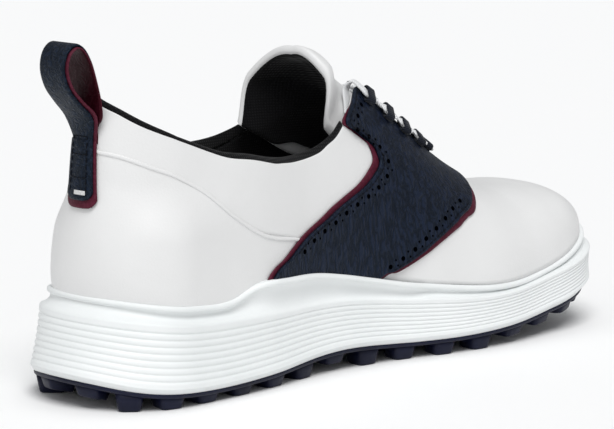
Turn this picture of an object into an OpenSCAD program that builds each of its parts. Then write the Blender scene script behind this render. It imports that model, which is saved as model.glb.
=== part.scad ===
/* [Shoe] */
// Length of the sole unit, heel to toe
shoe_length = 280; // [250:5:310]
// Width of the sole unit at the ball
ball_width = 98; // [88:1:108]
// Height of the collar above the ground at the heel
collar_height = 112; // [100:1:124]

/* [Leather] */
// Thickness of the white upper leather
leather_t = 1.3; // [1:0.1:1.3]
// Thickness of the navy saddle leather
saddle_t = 1.3; // [1:0.1:1.6]
// Thickness of the burgundy layer under the saddle
underlay_t = 0.7; // [0.5:0.1:0.8]

/* [Sole] */
// Height of a free-hanging tread lug
lug_height = 5.5; // [4:0.5:6]
// Length of a tread lug at its root, along the edge of the sole
lug_length = 11; // [9:0.5:12]
// Distance between neighbouring lugs along the edge
lug_pitch = 18; // [16:1:22]
// Thickness of the rubber tread plate between the lugs
tread_t = 1.8; // [1.5:0.1:2]

/* [Footbed] */
// Thickness of the removable insole
insole_t = 4.5; // [3:0.5:4.5]

/* [Pull loop] */
// Width of the heel pull strap
strap_w = 16; // [12:1:18]

/* [Lacing] */
// Width of the flat lace
lace_w = 3.8; // [3.4:0.2:4]
// Thickness of the flat lace
lace_t = 1.2; // [1:0.1:1.2]

/* [Hidden] */

white_leather = [0.93, 0.93, 0.92];
foam_white = [0.88, 0.89, 0.90];
navy = [0.15, 0.18, 0.26];
burgundy = [0.36, 0.13, 0.18];
black = [0.07, 0.07, 0.08];
board_tan = [0.70, 0.62, 0.48];

// The shoe is drawn with its heel at x = 0, its inner side at -y and the ground at z = 0.
// fit() then scales it to the driving sizes and moves the origin under the middle of the shoe.
drawn_length = 280;
drawn_width = 98;
drawn_height = 112;
length_k = shoe_length / drawn_length;
width_k = ball_width / drawn_width;
height_k = collar_height / drawn_height;
middle_x = 139;
middle_y = 2.2;
function fit(p) = [(p[0] - middle_x) * length_k, (p[1] - middle_y) * width_k, p[2] * height_k];

medial = -1;
lateral = 1;

// ---- Curves through a few stations --------------------------------------------------------
function knot(tab, x, i = 0) = (i >= len(tab) - 2 || x < tab[i + 1][0]) ? i : knot(tab, x, i + 1);
function rise(tab, i) = (tab[i + 1][1] - tab[i][1]) / (tab[i + 1][0] - tab[i][0]);
function gap(tab, i) = tab[i + 1][0] - tab[i][0];
function slope(tab, i) =
    i == 0 ? rise(tab, 0) :
    i == len(tab) - 1 ? rise(tab, i - 1) :
    (rise(tab, i) * gap(tab, i - 1) + rise(tab, i - 1) * gap(tab, i)) / (gap(tab, i) + gap(tab, i - 1));
function clamp(x, low, high) = min(max(x, low), high);
function curve(tab, x) =
    let (c = clamp(x, tab[0][0], tab[len(tab) - 1][0]),
         i = knot(tab, c),
         h = gap(tab, i),
         t = (c - tab[i][0]) / h)
    (2 * t * t * t - 3 * t * t + 1) * tab[i][1] + (t * t * t - 2 * t * t + t) * h * slope(tab, i)
    + (3 * t * t - 2 * t * t * t) * tab[i + 1][1] + (t * t * t - t * t) * h * slope(tab, i + 1);
function smooth(t) = let (c = clamp(t, 0, 1)) c * c * (3 - 2 * c);
function mix(a, b, t) = a + (b - a) * t;

// ---- The last: the surface of the closed upper ----------------------------------------------
// Stations s run along each side from the middle of the heel (-12) to the middle of the toe
// (300), and equal x from 40 to 225. Height v runs from the sole edge (0) to the ridge (1).
heel_s = -12;
toe_s = 300;
heel_x = 40;
toe_x = 225;
heel_radius = 31;
toe_reach = 48;
toe_power = 2.3;
toe_swing = -4;
half_width_medial = [[40, 33], [75, 32], [110, 28.5], [140, 30.5], [175, 38], [205, 42], [225, 41]];
half_width_lateral = [[40, 34], [75, 35], [110, 37], [140, 39.5], [175, 43], [205, 45], [225, 44]];
ridge_height = [[-10, 128], [40, 130], [80, 131], [110, 127], [130, 121], [145, 114], [158, 105.2],
                [170, 95], [185, 81.7], [200, 70.7], [214, 63.2], [226, 60], [240, 59.4], [256, 59.8],
                [270, 56.2], [285, 48]];
section_power = [[0, 2.7], [40, 2.6], [90, 2.4], [130, 2], [155, 1.8], [185, 1.8], [205, 2], [230, 2.4],
                 [285, 2.8]];
rim_height = [[0, 44], [15, 41.5], [40, 38], [60, 37.8], [74, 42.5], [90, 42.5], [105, 41.7], [121, 39],
              [135, 36], [154, 32], [176, 28.5], [199, 26], [217, 26.5], [240, 31], [262, 38], [285, 46]];
heel_lean = [[36, 2], [44, 0.6], [52, 0.8], [60, 1.8], [70, 3.4], [80, 4.2], [90, 3.8], [100, 3], [115, 1.8]];
heel_pinch = 0.3;

function spine(s) = clamp(s, heel_x, toe_x);
function outline(s, side) =
    let (a = clamp((s - heel_s) / (heel_x - heel_s), 0, 1) * 90,
         b = clamp((s - toe_x) / (toe_s - toe_x), 0, 1) * 90,
         w = curve(side == medial ? half_width_medial : half_width_lateral, spine(s)),
         reach = toe_reach * pow(sin(b), 2 / toe_power))
    s < heel_x ? [heel_x - heel_radius * cos(a), side * w * sin(a)] :
    s > toe_x ? [toe_x + reach, side * w * pow(max(cos(b), 0), 2 / toe_power)
                 + toe_swing * pow(reach / toe_reach, 2)] :
    [s, side * w];
function last(s, side, v, off = 0) =
    let (c = spine(s),
         o = outline(s, side),
         d = norm([o[0] - c, o[1]]),
         ox = o[0] + (o[0] - c) / d * off,
         oy = o[1] + o[1] / d * off,
         phi = v * 90,
         p = curve(section_power, ox),
         across = pow(max(cos(phi), 0), 2 / p),
         up = pow(sin(phi), 2 / p),
         x = c + (ox - c) * across,
         foot = curve(rim_height, ox),
         z = foot + (curve(ridge_height, x) + off - foot) * up,
         lean_x = x + curve(heel_lean, z) * (1 - smooth((x - 9) / 70)),
         narrow = 1 - heel_pinch * smooth((z - 62) / 22) * (1 - smooth((lean_x - 12) / 60)))
    [lean_x, oy * across * narrow, z];
// The same with a signed station: negative on the inner side, counted from the middle of the heel
function around(t, v, off = 0) = last(heel_s + abs(t), t < 0 ? medial : lateral, v, off);

// ---- Closed sheets from a grid of points -----------------------------------------------------
// Rows run forward or up and columns run from the inner side to the outer side.
function quad(a, b, c, d) = [[a, c, b], [a, d, c]];
function real(faces) = [for (f = faces) if (f[0] != f[1] && f[1] != f[2] && f[0] != f[2]) f];
function flat(rows) = [for (r = rows) each r];

module sheet(outer, inner) {
    rows = len(outer) - 1;
    cols = len(outer[0]) - 1;
    total = (rows + 1) * (cols + 1);
    function id(i, j) = i * (cols + 1) + j;
    polyhedron([for (p = concat(flat(outer), flat(inner))) fit(p)], concat(
        [for (i = [0:rows - 1]) for (j = [0:cols - 1])
            each quad(id(i, j), id(i + 1, j), id(i + 1, j + 1), id(i, j + 1))],
        [for (i = [0:rows - 1]) for (j = [0:cols - 1])
            each quad(total + id(i, j), total + id(i, j + 1), total + id(i + 1, j + 1), total + id(i + 1, j))],
        [for (i = [0:rows - 1]) each quad(id(i, 0), total + id(i, 0), total + id(i + 1, 0), id(i + 1, 0))],
        [for (i = [0:rows - 1])
            each quad(id(i + 1, cols), total + id(i + 1, cols), total + id(i, cols), id(i, cols))],
        [for (j = [0:cols - 1]) each quad(id(0, j + 1), total + id(0, j + 1), total + id(0, j), id(0, j))],
        [for (j = [0:cols - 1])
            each quad(id(rows, j), total + id(rows, j), total + id(rows, j + 1), id(rows, j + 1))]));
}

// A sheet that wraps the toe. Its last row is closed along the middle of the toe, and its middle
// column meets in one point from the row called pole onward.
module toe_sheet(outer, inner, pole) {
    rows = len(outer) - 1;
    cols = len(outer[0]) - 1;
    half = cols / 2;
    total = (rows + 1) * (cols + 1);
    function id(i, j) =
        let (col = (i == rows && j > half) ? cols - j : j)
        (col == half && i > pole) ? pole * (cols + 1) + half : i * (cols + 1) + col;
    polyhedron([for (p = concat(flat(outer), flat(inner))) fit(p)], real(concat(
        [for (i = [0:rows - 1]) for (j = [0:cols - 1])
            each quad(id(i, j), id(i + 1, j), id(i + 1, j + 1), id(i, j + 1))],
        [for (i = [0:rows - 1]) for (j = [0:cols - 1])
            each quad(total + id(i, j), total + id(i, j + 1), total + id(i + 1, j + 1), total + id(i + 1, j))],
        [for (i = [0:rows - 1]) each quad(id(i, 0), total + id(i, 0), total + id(i + 1, 0), id(i + 1, 0))],
        [for (i = [0:rows - 1])
            each quad(id(i + 1, cols), total + id(i + 1, cols), total + id(i, cols), id(i, cols))],
        [for (j = [0:cols - 1]) each quad(id(0, j + 1), total + id(0, j + 1), total + id(0, j), id(0, j))])));
}

// ---- Closed solids from a stack of loops -------------------------------------------------------
// Each loop starts at the middle of the heel and runs along the inner side to the toe and back.
module stack(loops) {
    n = len(loops[0]);
    top = (len(loops) - 1) * n;
    function cap(k) = [k, k + 1, n - k - 1, (n - k) % n];
    polyhedron([for (p = flat(loops)) fit(p)], real(concat(
        [for (r = [0:len(loops) - 2]) for (k = [0:n - 1])
            let (a = r * n + k, b = r * n + (k + 1) % n)
            each quad(b, b + n, a + n, a)],
        [for (k = [0:n / 2 - 1]) let (c = cap(k)) each quad(c[3], c[2], c[1], c[0])],
        [for (k = [0:n / 2 - 1]) let (c = cap(k)) each quad(top + c[0], top + c[1], top + c[2], top + c[3])])));
}

// ---- The sole's outline -----------------------------------------------------------------------------
sole_heel_s = -20;
sole_toe_s = 305;
sole_heel_x = 38;
sole_toe_x = 230;
sole_heel_radius = 38;
sole_toe_reach = 49;
sole_power = 2.25;
sole_half = 44;
sole_width_medial = [[38, 37.6], [75, 36.8], [110, 32.8], [145, 35.1], [180, 43.7], [205, 46.5], [230, 45]];
sole_width_lateral = [[38, 39.5], [75, 40], [110, 42], [145, 45], [180, 49], [205, 51], [230, 49]];
tread_top = [[0, 12], [15, 8], [40, 5.5], [80, 6], [120, 8.6], [160, 7], [200, 8], [240, 13], [265, 18],
             [285, 24]];
rib_top = [[0, 36], [40, 31], [80, 29.6], [120, 28.5], [160, 24.2], [200, 22], [240, 27], [285, 36]];
bed_height = [[0, 33], [40, 31.5], [80, 31], [120, 28.5], [160, 23.5], [200, 20.5], [240, 23], [265, 28],
              [285, 34]];

function sole_edge(s, side, inset, back = 0, front = 0) =
    let (a = clamp((s - sole_heel_s) / (sole_heel_x - sole_heel_s), 0, 1) * 90,
         b = clamp((s - sole_toe_x) / (sole_toe_s - sole_toe_x), 0, 1) * 90,
         w = curve(side == medial ? sole_width_medial : sole_width_lateral,
                   clamp(s, sole_heel_x, sole_toe_x)) - inset,
         reach = (sole_toe_reach - inset - front) * pow(sin(b), 2 / sole_power))
    s < sole_heel_x ? [sole_heel_x - (sole_heel_radius - inset - back) * cos(a), side * w * sin(a)] :
    s > sole_toe_x ? [sole_toe_x + reach, side * w * pow(max(cos(b), 0), 2 / sole_power)
                      + toe_swing * pow(reach / sole_toe_reach, 2)] :
    [s, side * w];
function loop_station(k) = mix(sole_heel_s, sole_toe_s, (k <= sole_half ? k : 2 * sole_half - k) / sole_half);
// One loop: inset from the outline, more at the back and front, at a height table plus a lift
function sole_loop(tab, lift, inset, back = 0, front = 0) =
    [for (k = [0:2 * sole_half - 1])
        let (p = sole_edge(loop_station(k), k <= sole_half ? medial : lateral, inset, back, front))
        [p[0], p[1], curve(tab, p[0]) + lift]];
function blend_loop(a, b, t, tuck = 0) =
    [for (k = [0:len(a) - 1]) mix(a[k], b[k], t) + tuck * inward(a[k])];
function inward(p) = let (c = clamp(p[0], sole_heel_x, sole_toe_x), d = norm([p[0] - c, p[1]]))
    [(c - p[0]) / d, -p[1] / d, 0];

// ---- Sole unit ---------------------------------------------------------------------------------------
midsole_floor = 9.5;
ground_reach = 8.3;

module midsole() {
    bottom = sole_loop(tread_top, 0, 1.2, 0.5, 5);
    foot = sole_loop(tread_top, 2, 0, 0, 2);
    ribs = sole_loop(rib_top, 0, 0.8, 5.5, 0);
    rim = sole_loop(rim_height, -2.4, 3.6, 8, 0);
    color(foam_white) stack([
        bottom,
        foot,
        blend_loop(foot, ribs, 0.5, 0.5),
        ribs,
        blend_loop(ribs, rim, 0.55, 1.4),
        rim,
        sole_loop(rim_height, -1.2, 3.2, 8, 0),
        sole_loop(rim_height, -0.4, 4.2, 8, 0),
        sole_loop(rim_height, -0.4, 8.9, 8, 0),
        sole_loop(bed_height, 0, midsole_floor, 8, 0)]);
}

function tread_tip(x) = let (h = curve(tread_top, x)) h < ground_reach ? 0 : h - lug_height;
function tread_tilt(x) = atan((curve(tread_top, x + 2) - curve(tread_top, x - 2)) / 4);

module lug(s, side, inset, long, wide) {
    p = sole_edge(s, side, inset, 0.5, 5);
    q = sole_edge(s + 1, side, inset, 0.5, 5);
    turn = atan2(q[1] - p[1], q[0] - p[0]);
    tilt = -tread_tilt(p[0]);
    tip_tilt = tread_tip(p[0]) == 0 ? 0 : tilt;
    root = fit([p[0], p[1], curve(tread_top, p[0]) - 1.2]);
    tip = fit([p[0], p[1], tread_tip(p[0])]);
    hull() {
        translate(root) rotate([0, tilt, 0]) rotate(turn) cube([long, wide, 0.4], center = true);
        translate(tip) rotate([0, tip_tilt, 0]) rotate(turn)
            translate([0, 0, 0.5]) cube([long - 2.6, wide - 2.6, 1], center = true);
    }
}

module outsole() {
    color(navy) {
        stack([sole_loop(tread_top, -tread_t, 2, 1, 6),
               sole_loop(tread_top, -tread_t + 0.5, 1.3, 0.5, 5.2),
               sole_loop(tread_top, -0.1, 1.2, 0.5, 5)]);
        // Outer rows follow the edge; the inner rows sit half a pitch further on
        for (side = [medial, lateral]) {
            for (s = [-8:lug_pitch:292]) lug(s, side, 8, lug_length, 12);
            for (s = [46:lug_pitch:92]) lug(s, side, 26, lug_length, 10);
            for (s = [158:lug_pitch:240]) lug(s, side, 27, lug_length, 11);
        }
    }
}

module bed_plate(low, high, inset) {
    stack([sole_loop(bed_height, low, inset, 8, 0), sole_loop(bed_height, high, inset, 8, 0)]);
}

module insole_board() {
    color(board_tan) bed_plate(1.6, 2.8, midsole_floor + 0.5);
}

// A plate across the bed between two stations
module bed_strip(from, to, inset, low, high) {
    steps = 12;
    stations = [for (i = [0:steps]) mix(from, to, i / steps)];
    function row(x, h) = [for (j = [0:4])
        let (m = sole_edge(x, medial, inset)[1], l = sole_edge(x, lateral, inset)[1])
        [x, mix(m, l, j / 4), curve(bed_height, x) + h]];
    sheet([for (x = stations) row(x, high)], [for (x = stations) row(x, low)]);
}

module shank() {
    color([0.45, 0.46, 0.48]) bed_strip(62, 150, 24, 0.3, 1.4);
}

module forefoot_filler() {
    color([0.62, 0.50, 0.36]) bed_strip(154, 228, 14, 0.3, 1.4);
}

module insole() {
    color([0.16, 0.17, 0.19]) stack([
        sole_loop(bed_height, 3.2, 11.5, 9, 2),
        sole_loop(bed_height, 4.2, 10.6, 9, 1),
        sole_loop(bed_height, 3.2 + insole_t, 10.4, 9, 1)]);
}

// ---- Seams and edges of the upper, as station and height ---------------------------------------------
seam = [[-12, 0.35], [12, 0.33], [24, 0.303], [35, 0.278], [47, 0.234], [61, 0.159], [74, 0.092], [97, 0.069],
        [120, 0.06]];
topline = [[-12, 0.56], [8, 0.5], [22, 0.445], [39, 0.395], [62, 0.32], [85, 0.278], [98, 0.288], [114, 0.346],
           [125, 0.43], [131, 0.5]];
vamp_rear = [[0, 118], [0.2, 140], [0.4, 158], [0.6, 176], [0.75, 190], [0.85, 195], [1, 195]];
heel_panel_front = 124;
base_in = -leather_t;
seam_gap = 0.006;

function vamp_grid(off, rear = vamp_rear, foot = 0, rows = 22, half = 11, pole = 7) =
    [for (i = [0:rows]) [for (j = [0:2 * half])
        let (v = max(1 - abs(j - half) / half, foot),
             s = i <= pole ? mix(curve(rear, v), toe_x, i / pole) : mix(toe_x, toe_s, (i - pole) / (rows - pole)))
        last(s, j < half ? medial : lateral, v, off)]];

module vamp() {
    color(white_leather) toe_sheet(vamp_grid(0), vamp_grid(base_in), 7);
}

module vamp_lining() {
    rear = [for (p = vamp_rear) [p[0], p[1] + 1.5]];
    color([0.80, 0.80, 0.79]) toe_sheet(
        vamp_grid(-2.5, rear, 0, 17, 9, 6),
        vamp_grid(-3.3, rear, 0, 17, 9, 6), 6);
}

module toe_puff() {
    rear = [[0, 216], [1, 210]];
    color(board_tan) toe_sheet(
        vamp_grid(-1.55, rear, 0.02, 12, 9, 2),
        vamp_grid(-2.2, rear, 0.02, 12, 9, 2), 2);
}

// A band around the heel: low and high edges by station, from -reach to reach
function heel_band(low, high, reach, cols, rows, off) =
    [for (i = [0:rows]) [for (j = [0:cols])
        let (t = mix(-reach, reach, j / cols), s = heel_s + abs(t),
             v = mix(low(s), high(s), i / rows))
        around(t, v, off(v))]];
half_cols = 25;

module heel_panel() {
    low = function(s) 0;
    high = function(s) curve(seam, s) - seam_gap;
    color(white_leather) sheet(
        heel_band(low, high, heel_panel_front, 2 * half_cols, 5, function(v) 0),
        heel_band(low, high, heel_panel_front, 2 * half_cols, 5, function(v) base_in));
}

// The upper quarter: its top edge runs from the throat back along the topline to the heel, and
// its bottom edge from the throat down behind the vamp and back along the seam.
quarter_top = [[189, 0.86], [182, 0.78], [174, 0.735], [167, 0.72], [160, 0.71], [153, 0.72], [146, 0.74],
               [138, 0.61], [131, 0.5], [125, 0.43], [119, 0.385], [114, 0.346], [106, 0.31], [98, 0.288],
               [91, 0.28], [85, 0.278], [74, 0.292], [62, 0.32], [50, 0.358], [39, 0.395], [30, 0.42],
               [22, 0.445], [15, 0.472], [8, 0.5], [-2, 0.53], [-12, 0.56]];
quarter_low = [[189.5, 0.8], [187, 0.74], [181, 0.68], [174, 0.6], [167, 0.52], [160, 0.44], [152, 0.36],
               [145, 0.28], [137, 0.2], [128, 0.13], [119, 0.07], [110, 0.067], [103, 0.068], [97, 0.069],
               [91, 0.075], [85, 0.078], [74, 0.092], [61, 0.159], [50, 0.22], [41, 0.258], [35, 0.278],
               [24, 0.303], [17, 0.318], [8, 0.335], [-2, 0.345], [-12, 0.35]];
quarter_rows = 7;
function quarter_grid(side, off) =
    let (n = len(quarter_top) - 1)
    [for (i = [0:quarter_rows]) [for (k = [0:n])
        let (j = side == medial ? k : n - k,
             v = mix(quarter_low[j][1], quarter_top[j][1], i / quarter_rows),
             s = mix(quarter_low[j][0], quarter_top[j][0], i / quarter_rows))
        last(max(s, heel_s + 0.4), side, v, off)]];

module collar_medial() {
    color(white_leather) sheet(quarter_grid(medial, 0), quarter_grid(medial, base_in));
}

module collar_lateral() {
    color(white_leather) sheet(quarter_grid(lateral, 0), quarter_grid(lateral, base_in));
}

// The saddle: pairs of a point on its rear or throat edge and the point across from it on its
// front edge, from the sole up to the ridge. The last number is how far the underlay shows
// past the rear edge.
saddle_lines = [
    [[80, 0.006], [140, 0.006], 1], [[86, 0.013], [143, 0.018], 1], [[92, 0.03], [147, 0.031], 1],
    [[102, 0.076], [154, 0.075], 1], [[112, 0.126], [161, 0.126], 1], [[120, 0.178], [165, 0.16], 1],
    [[128, 0.23], [169, 0.195], 1], [[135, 0.28], [173, 0.23], 1], [[141, 0.338], [177, 0.267], 1],
    [[145.5, 0.4], [181, 0.305], 1], [[144, 0.455], [183, 0.33], 1], [[138, 0.482], [185, 0.35], 1],
    [[131, 0.492], [187, 0.37], 0.6], [[138, 0.61], [190, 0.4], 0], [[146, 0.74], [193, 0.44], 0],
    [[153, 0.72], [195.5, 0.49], 0], [[160, 0.71], [197.5, 0.54], 0], [[167, 0.72], [199.5, 0.6], 0],
    [[174, 0.735], [201, 0.66], 0], [[182, 0.78], [203, 0.76], 0], [[189, 0.87], [205, 0.88], 0],
    [[192, 1], [206, 1], 0]];
saddle_rows = 6;
underlay_show = 2.5;
function saddle_point(k, side, f, off, show) =
    let (line = saddle_lines[k],
         rear = line[0],
         front = line[1],
         span = max(norm([front[0] - rear[0], (front[1] - rear[1]) * 90]), 20),
         g = mix(-show * line[2] / span, 1 + show / span, f),
         s = mix(rear[0], front[0], g),
         v = max(mix(rear[1], front[1], g), 0.006))
    last(s, side, v, off);
function saddle_grid(off, show) =
    let (n = len(saddle_lines) - 1)
    [for (i = [0:saddle_rows]) [for (j = [0:2 * n])
        saddle_point(j <= n ? j : 2 * n - j, j <= n ? medial : lateral, i / saddle_rows, off, show)]];

underlay_low = 0.4;
saddle_low = underlay_low + underlay_t + 0.35;
saddle_high = saddle_low + saddle_t;

module saddle_underlay() {
    color(burgundy) sheet(
        saddle_grid(underlay_low + underlay_t, underlay_show),
        saddle_grid(underlay_low, underlay_show));
}

module saddle() {
    color(navy) sheet(saddle_grid(saddle_high, 0), saddle_grid(saddle_low, 0));
}

// ---- Inside of the upper -----------------------------------------------------------------------------------
counter_out = -2;
counter_in = -2.7;
padding_start = 0.3;
lining_t = 0.8;

module heel_counter() {
    low = function(s) 0.02;
    high = function(s) min(curve(seam, s) - 0.02, 0.27);
    color(board_tan) sheet(
        heel_band(low, high, 76, 36, 4, function(v) counter_out),
        heel_band(low, high, 76, 36, 4, function(v) counter_in));
}

// Outer face of the lining: close to the counter below, further in behind the collar padding,
// and thin again beside the tongue
function lining_face(s, v) = mix(mix(-3.3, -5.4, smooth((v - 0.2) / 0.1)), -2.6, smooth((s - 90) / 26));

function lining_grid(side, extra) =
    let (n = len(quarter_top) - 1)
    [for (i = [0:6]) [for (k = [0:n])
        let (j = side == medial ? k : n - k,
             top = quarter_top[j][1] - 0.012,
             low = j < 10 ? quarter_low[j][1] : 0,
             v = mix(low, top, i / 6),
             s = mix(quarter_low[j][0], quarter_top[j][0], i / 6))
        last(max(s, heel_s + 0.02), side, v, lining_face(quarter_top[j][0], v) + extra)]];

function join_rows(a, b) = [for (i = [0:len(a) - 1]) concat(a[i], [for (j = [1:len(b[i]) - 1]) b[i][j]])];

module collar_lining() {
    color(black) sheet(
        join_rows(lining_grid(medial, 0), lining_grid(lateral, 0)),
        join_rows(lining_grid(medial, -lining_t), lining_grid(lateral, -lining_t)));
}

padding_reach = 120;

module collar_foam() {
    low = function(s) padding_start - 0.075 * smooth((s - 30) / 40);
    high = function(s) curve(topline, s) - 0.02;
    function grid(inner) = [for (i = [0:3]) [for (j = [0:48])
        let (t = mix(-padding_reach, padding_reach, j / 48),
             s = heel_s + abs(t),
             v = mix(low(s), high(s), i / 3))
        around(t, v, inner ? lining_face(s, v) + 0.55 : -1.65)]];
    color([0.85, 0.82, 0.70]) sheet(grid(false), grid(true));
}

module topline_binding() {
    reach = 142;
    function grid(inner) = [for (i = [0:1]) [for (j = [0:60])
        let (t = mix(-reach, reach, j / 60),
             s = heel_s + abs(t))
        around(t, curve(topline, s) + mix(0.008, 0.02, i), inner ? lining_face(s, 0.5) - 0.9 : 0.2)]];
    color(black) sheet(grid(false), grid(true));
}

// ---- Tongue -----------------------------------------------------------------------------------------------
tongue_root = 208;
tongue_top = 122;
tongue_wing_medial = [[126, 0.56], [132, 0.5], [142, 0.44], [165, 0.52], [190, 0.66], [208, 0.78]];
tongue_wing_lateral = [[117, 0.46], [126, 0.45], [142, 0.44], [165, 0.52], [190, 0.66], [208, 0.78]];
tongue_corner_medial = 6;
tongue_corner_lateral = -7;
tongue_half = 8;
tongue_rows = 16;
tongue_out = -6.2;
tongue_rise = 2.5;
// The edge of the shoe's mouth and throat, which the tongue stays inside of
mouth_edge = [[114, 0.35], [125, 0.43], [131, 0.5], [138, 0.61], [146, 0.74], [152, 0.8], [158, 1]];
// Above that edge the tongue stands off the shin, most of all at its inner corner
function tongue_off(s, side, v) =
    let (clear = smooth((v - curve(mouth_edge, s) - 0.07) / 0.17),
         lift = smooth((150 - s) / 22))
    mix(tongue_out, tongue_rise + (side == medial ? 12 : 3) * (1 - v), clear * lift);
function tongue_grid(depth, trim) =
    [for (i = [trim:tongue_rows]) [for (j = [-tongue_half:tongue_half])
        let (f = abs(j) / tongue_half,
             side = j < 0 ? medial : lateral,
             corner = side == medial ? tongue_corner_medial : tongue_corner_lateral,
             wing = side == medial ? tongue_wing_medial : tongue_wing_lateral,
             s = mix(tongue_top + corner * pow(f, 3), tongue_root, i / tongue_rows),
             v = mix(1, curve(wing, s), f * (1 - 0.06 * trim)))
        last(s, side, v, tongue_off(s, side, v) - depth)]];

module tongue_shell() {
    color(white_leather) sheet(tongue_grid(0, 0), tongue_grid(1, 0));
}

module tongue_foam() {
    color([0.85, 0.82, 0.70]) sheet(tongue_grid(1.8, 1), tongue_grid(3.8, 1));
}

module tongue_lining() {
    color(black) sheet(tongue_grid(4.7, 0), tongue_grid(5.5, 0));
}

// ---- Lacing -----------------------------------------------------------------------------------------------
lace_stations = [187.5, 178.2, 168.9, 159.6, 150.3];
throat_edge = [[146, 0.74], [153, 0.72], [160, 0.71], [167, 0.72], [174, 0.735], [182, 0.78], [189, 0.87]];
loop_high = 4;
loop_wide = 8;
loop_wall = 1;
loop_long = 4.4;
lace_rise = saddle_high + (loop_high / 2 + 0.5) / 0.72;

function unit(p) = p / norm(p);
// The direction straight off the upper
function up_from(s, side, v) =
    let (along = fit(last(s + 1, side, v)) - fit(last(s - 1, side, v)),
         rising = fit(last(s, side, v)) - fit(last(s, side, v - 0.03)))
    unit(cross(along, rising)) * -side;
// Where the middle of a loop's opening lies, and the directions along the throat and outward
function loop_centre(s, side) = last(s, side, curve(throat_edge, s) - 0.035, lace_rise);

module lace_loop(s, side) {
    v = curve(throat_edge, s) - 0.035;
    centre = fit(loop_centre(s, side));
    up = up_from(s, side, v);
    ahead = unit(fit(last(s + 2, side, v, 0)) - fit(last(s - 2, side, v, 0)));
    sideways = unit(cross(up, ahead));
    multmatrix([[sideways[0], up[0], ahead[0], centre[0]],
                [sideways[1], up[1], ahead[1], centre[1]],
                [sideways[2], up[2], ahead[2], centre[2]],
                [0, 0, 0, 1]])
        linear_extrude(height = loop_long, center = true) difference() {
            oval(loop_wide, loop_high);
            oval(loop_wide - 2 * loop_wall, loop_high - 2 * loop_wall);
        }
}

// A flat ring's outline: two half rounds joined by straight sides
module oval(wide, high) {
    steps = 6;
    polygon([for (end = [1, -1]) for (i = [0:steps])
        let (a = -90 * end + 180 * i / steps)
        [end * (wide - high) / 2 + high / 2 * cos(a), high / 2 * sin(a)]]);
}

module lace_loops_medial() {
    color(navy) for (s = lace_stations) lace_loop(s, medial);
}

module lace_loops_lateral() {
    color(navy) for (s = lace_stations) lace_loop(s, lateral);
}

// The lace's route as [station, side, height, offset]. It starts tucked in beside the tongue on
// the inner side, comes down through every second loop, crosses at the bottom and goes back up.
lace_under = tongue_out + 3;
lace_over = lace_under + 1.7;
tuck = tongue_out + 1.4;
function tucked_end(side) = [[136, side, 0.36, tuck], [138, side, 0.48, tuck], [140, side, 0.6, tuck],
                             [142, side, 0.7, tuck + 0.8], [144, side, 0.79, -1.2], [146, side, 0.77, 4.6]];
function loop_pass(k, side) =
    let (s = lace_stations[k], v = curve(throat_edge, s) - 0.035)
    [[s - 3, side, v + 0.015, lace_rise], [s - 1.7, side, v, lace_rise],
     [s + 1.7, side, v, lace_rise], [s + 3, side, v + 0.015, lace_rise]];
function crossing(k, height) = [(lace_stations[k] + lace_stations[k - 1]) / 2, lateral, 1, height];
// One strand from its tucked end down to the bottom loop, changing sides at each loop
function strand(side, height) = concat(tucked_end(side), [for (k = [4:-1:0])
    let (here = k % 2 == 0 ? side : -side)
    each concat(loop_pass(k, here), k > 0 ? [crossing(k, height)] : [])]);
function reversed(list) = [for (i = [len(list) - 1:-1:0]) list[i]];
bottom_bar = [[192.5, medial, 0.86, 5.6], [193, lateral, 1, 5], [192.5, lateral, 0.86, 5.6]];
lace_route = concat(strand(medial, lace_over), bottom_bar, reversed(strand(lateral, lace_under)));

// A smooth curve through a list of points, with steps pieces between neighbours
function through(a, b, c, d, t) =
    0.5 * (2 * b + (c - a) * t + (2 * a - 5 * b + 4 * c - d) * t * t + (3 * b - a - 3 * c + d) * t * t * t);
function smoothed(points, steps) =
    let (n = len(points) - 1)
    concat([for (i = [0:n - 1]) for (k = [0:steps - 1])
        through(points[max(i - 1, 0)], points[i], points[i + 1], points[min(i + 2, n)], k / steps)], [points[n]]);

// A flat band swept along a path, its faces turned to the given up directions
module band(path, ups, wide, thick) {
    n = len(path);
    section = [[0.5, 0.2], [0.4, 0.5], [-0.4, 0.5], [-0.5, 0.2], [-0.5, -0.2], [-0.4, -0.5], [0.4, -0.5],
               [0.5, -0.2]];
    m = len(section);
    function ring(i) =
        let (ahead = unit(path[min(i + 1, n - 1)] - path[max(i - 1, 0)]),
             sideways = unit(cross(ahead, ups[i])),
             up = cross(sideways, ahead))
        [for (q = section) path[i] + q[0] * wide * sideways + q[1] * thick * up];
    points = [for (i = [0:n - 1]) each ring(i)];
    polyhedron(points, concat(
        [[for (k = [m - 1:-1:0]) k]],
        [for (i = [0:n - 2]) for (k = [0:m - 1])
            let (a = i * m + k, b = i * m + (k + 1) % m)
            each quad(a, a + m, b + m, b)],
        [[for (k = [0:m - 1]) (n - 1) * m + k]]));
}

module lace() {
    steps = 3;
    path = smoothed([for (r = lace_route) fit(last(r[0], r[1], r[2], r[3]))], steps);
    ups = smoothed([for (r = lace_route) up_from(r[0], r[1], r[2])], steps);
    color([0.95, 0.95, 0.94]) band(path, ups, lace_w, lace_t);
}

// ---- Pull loop -------------------------------------------------------------------------------------------
strap_bottom = 0.18;
strap_top = 0.415;
strap_half = strap_w * 0.545;
loop_outline = [[13.4, 106.3], [11.2, 108.8], [6.8, 113.2], [2.4, 119], [0.4, 126], [1.8, 132.4], [6, 135.8],
                [10, 134.2], [13, 129], [15.2, 122], [16.6, 115], [16.8, 108]];
loop_leather = 1.3;
loop_skin = 0.7;

// A patch on the middle of the heel with a rounded lower end
function strap_grid(half, low, high, off) =
    [for (i = [0:10]) [for (j = [-4:4])
        let (f = j / 4, bottom = low + 0.025 * pow(f, 4))
        around(f * half, mix(bottom, high, i / 10), off)]];

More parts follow.
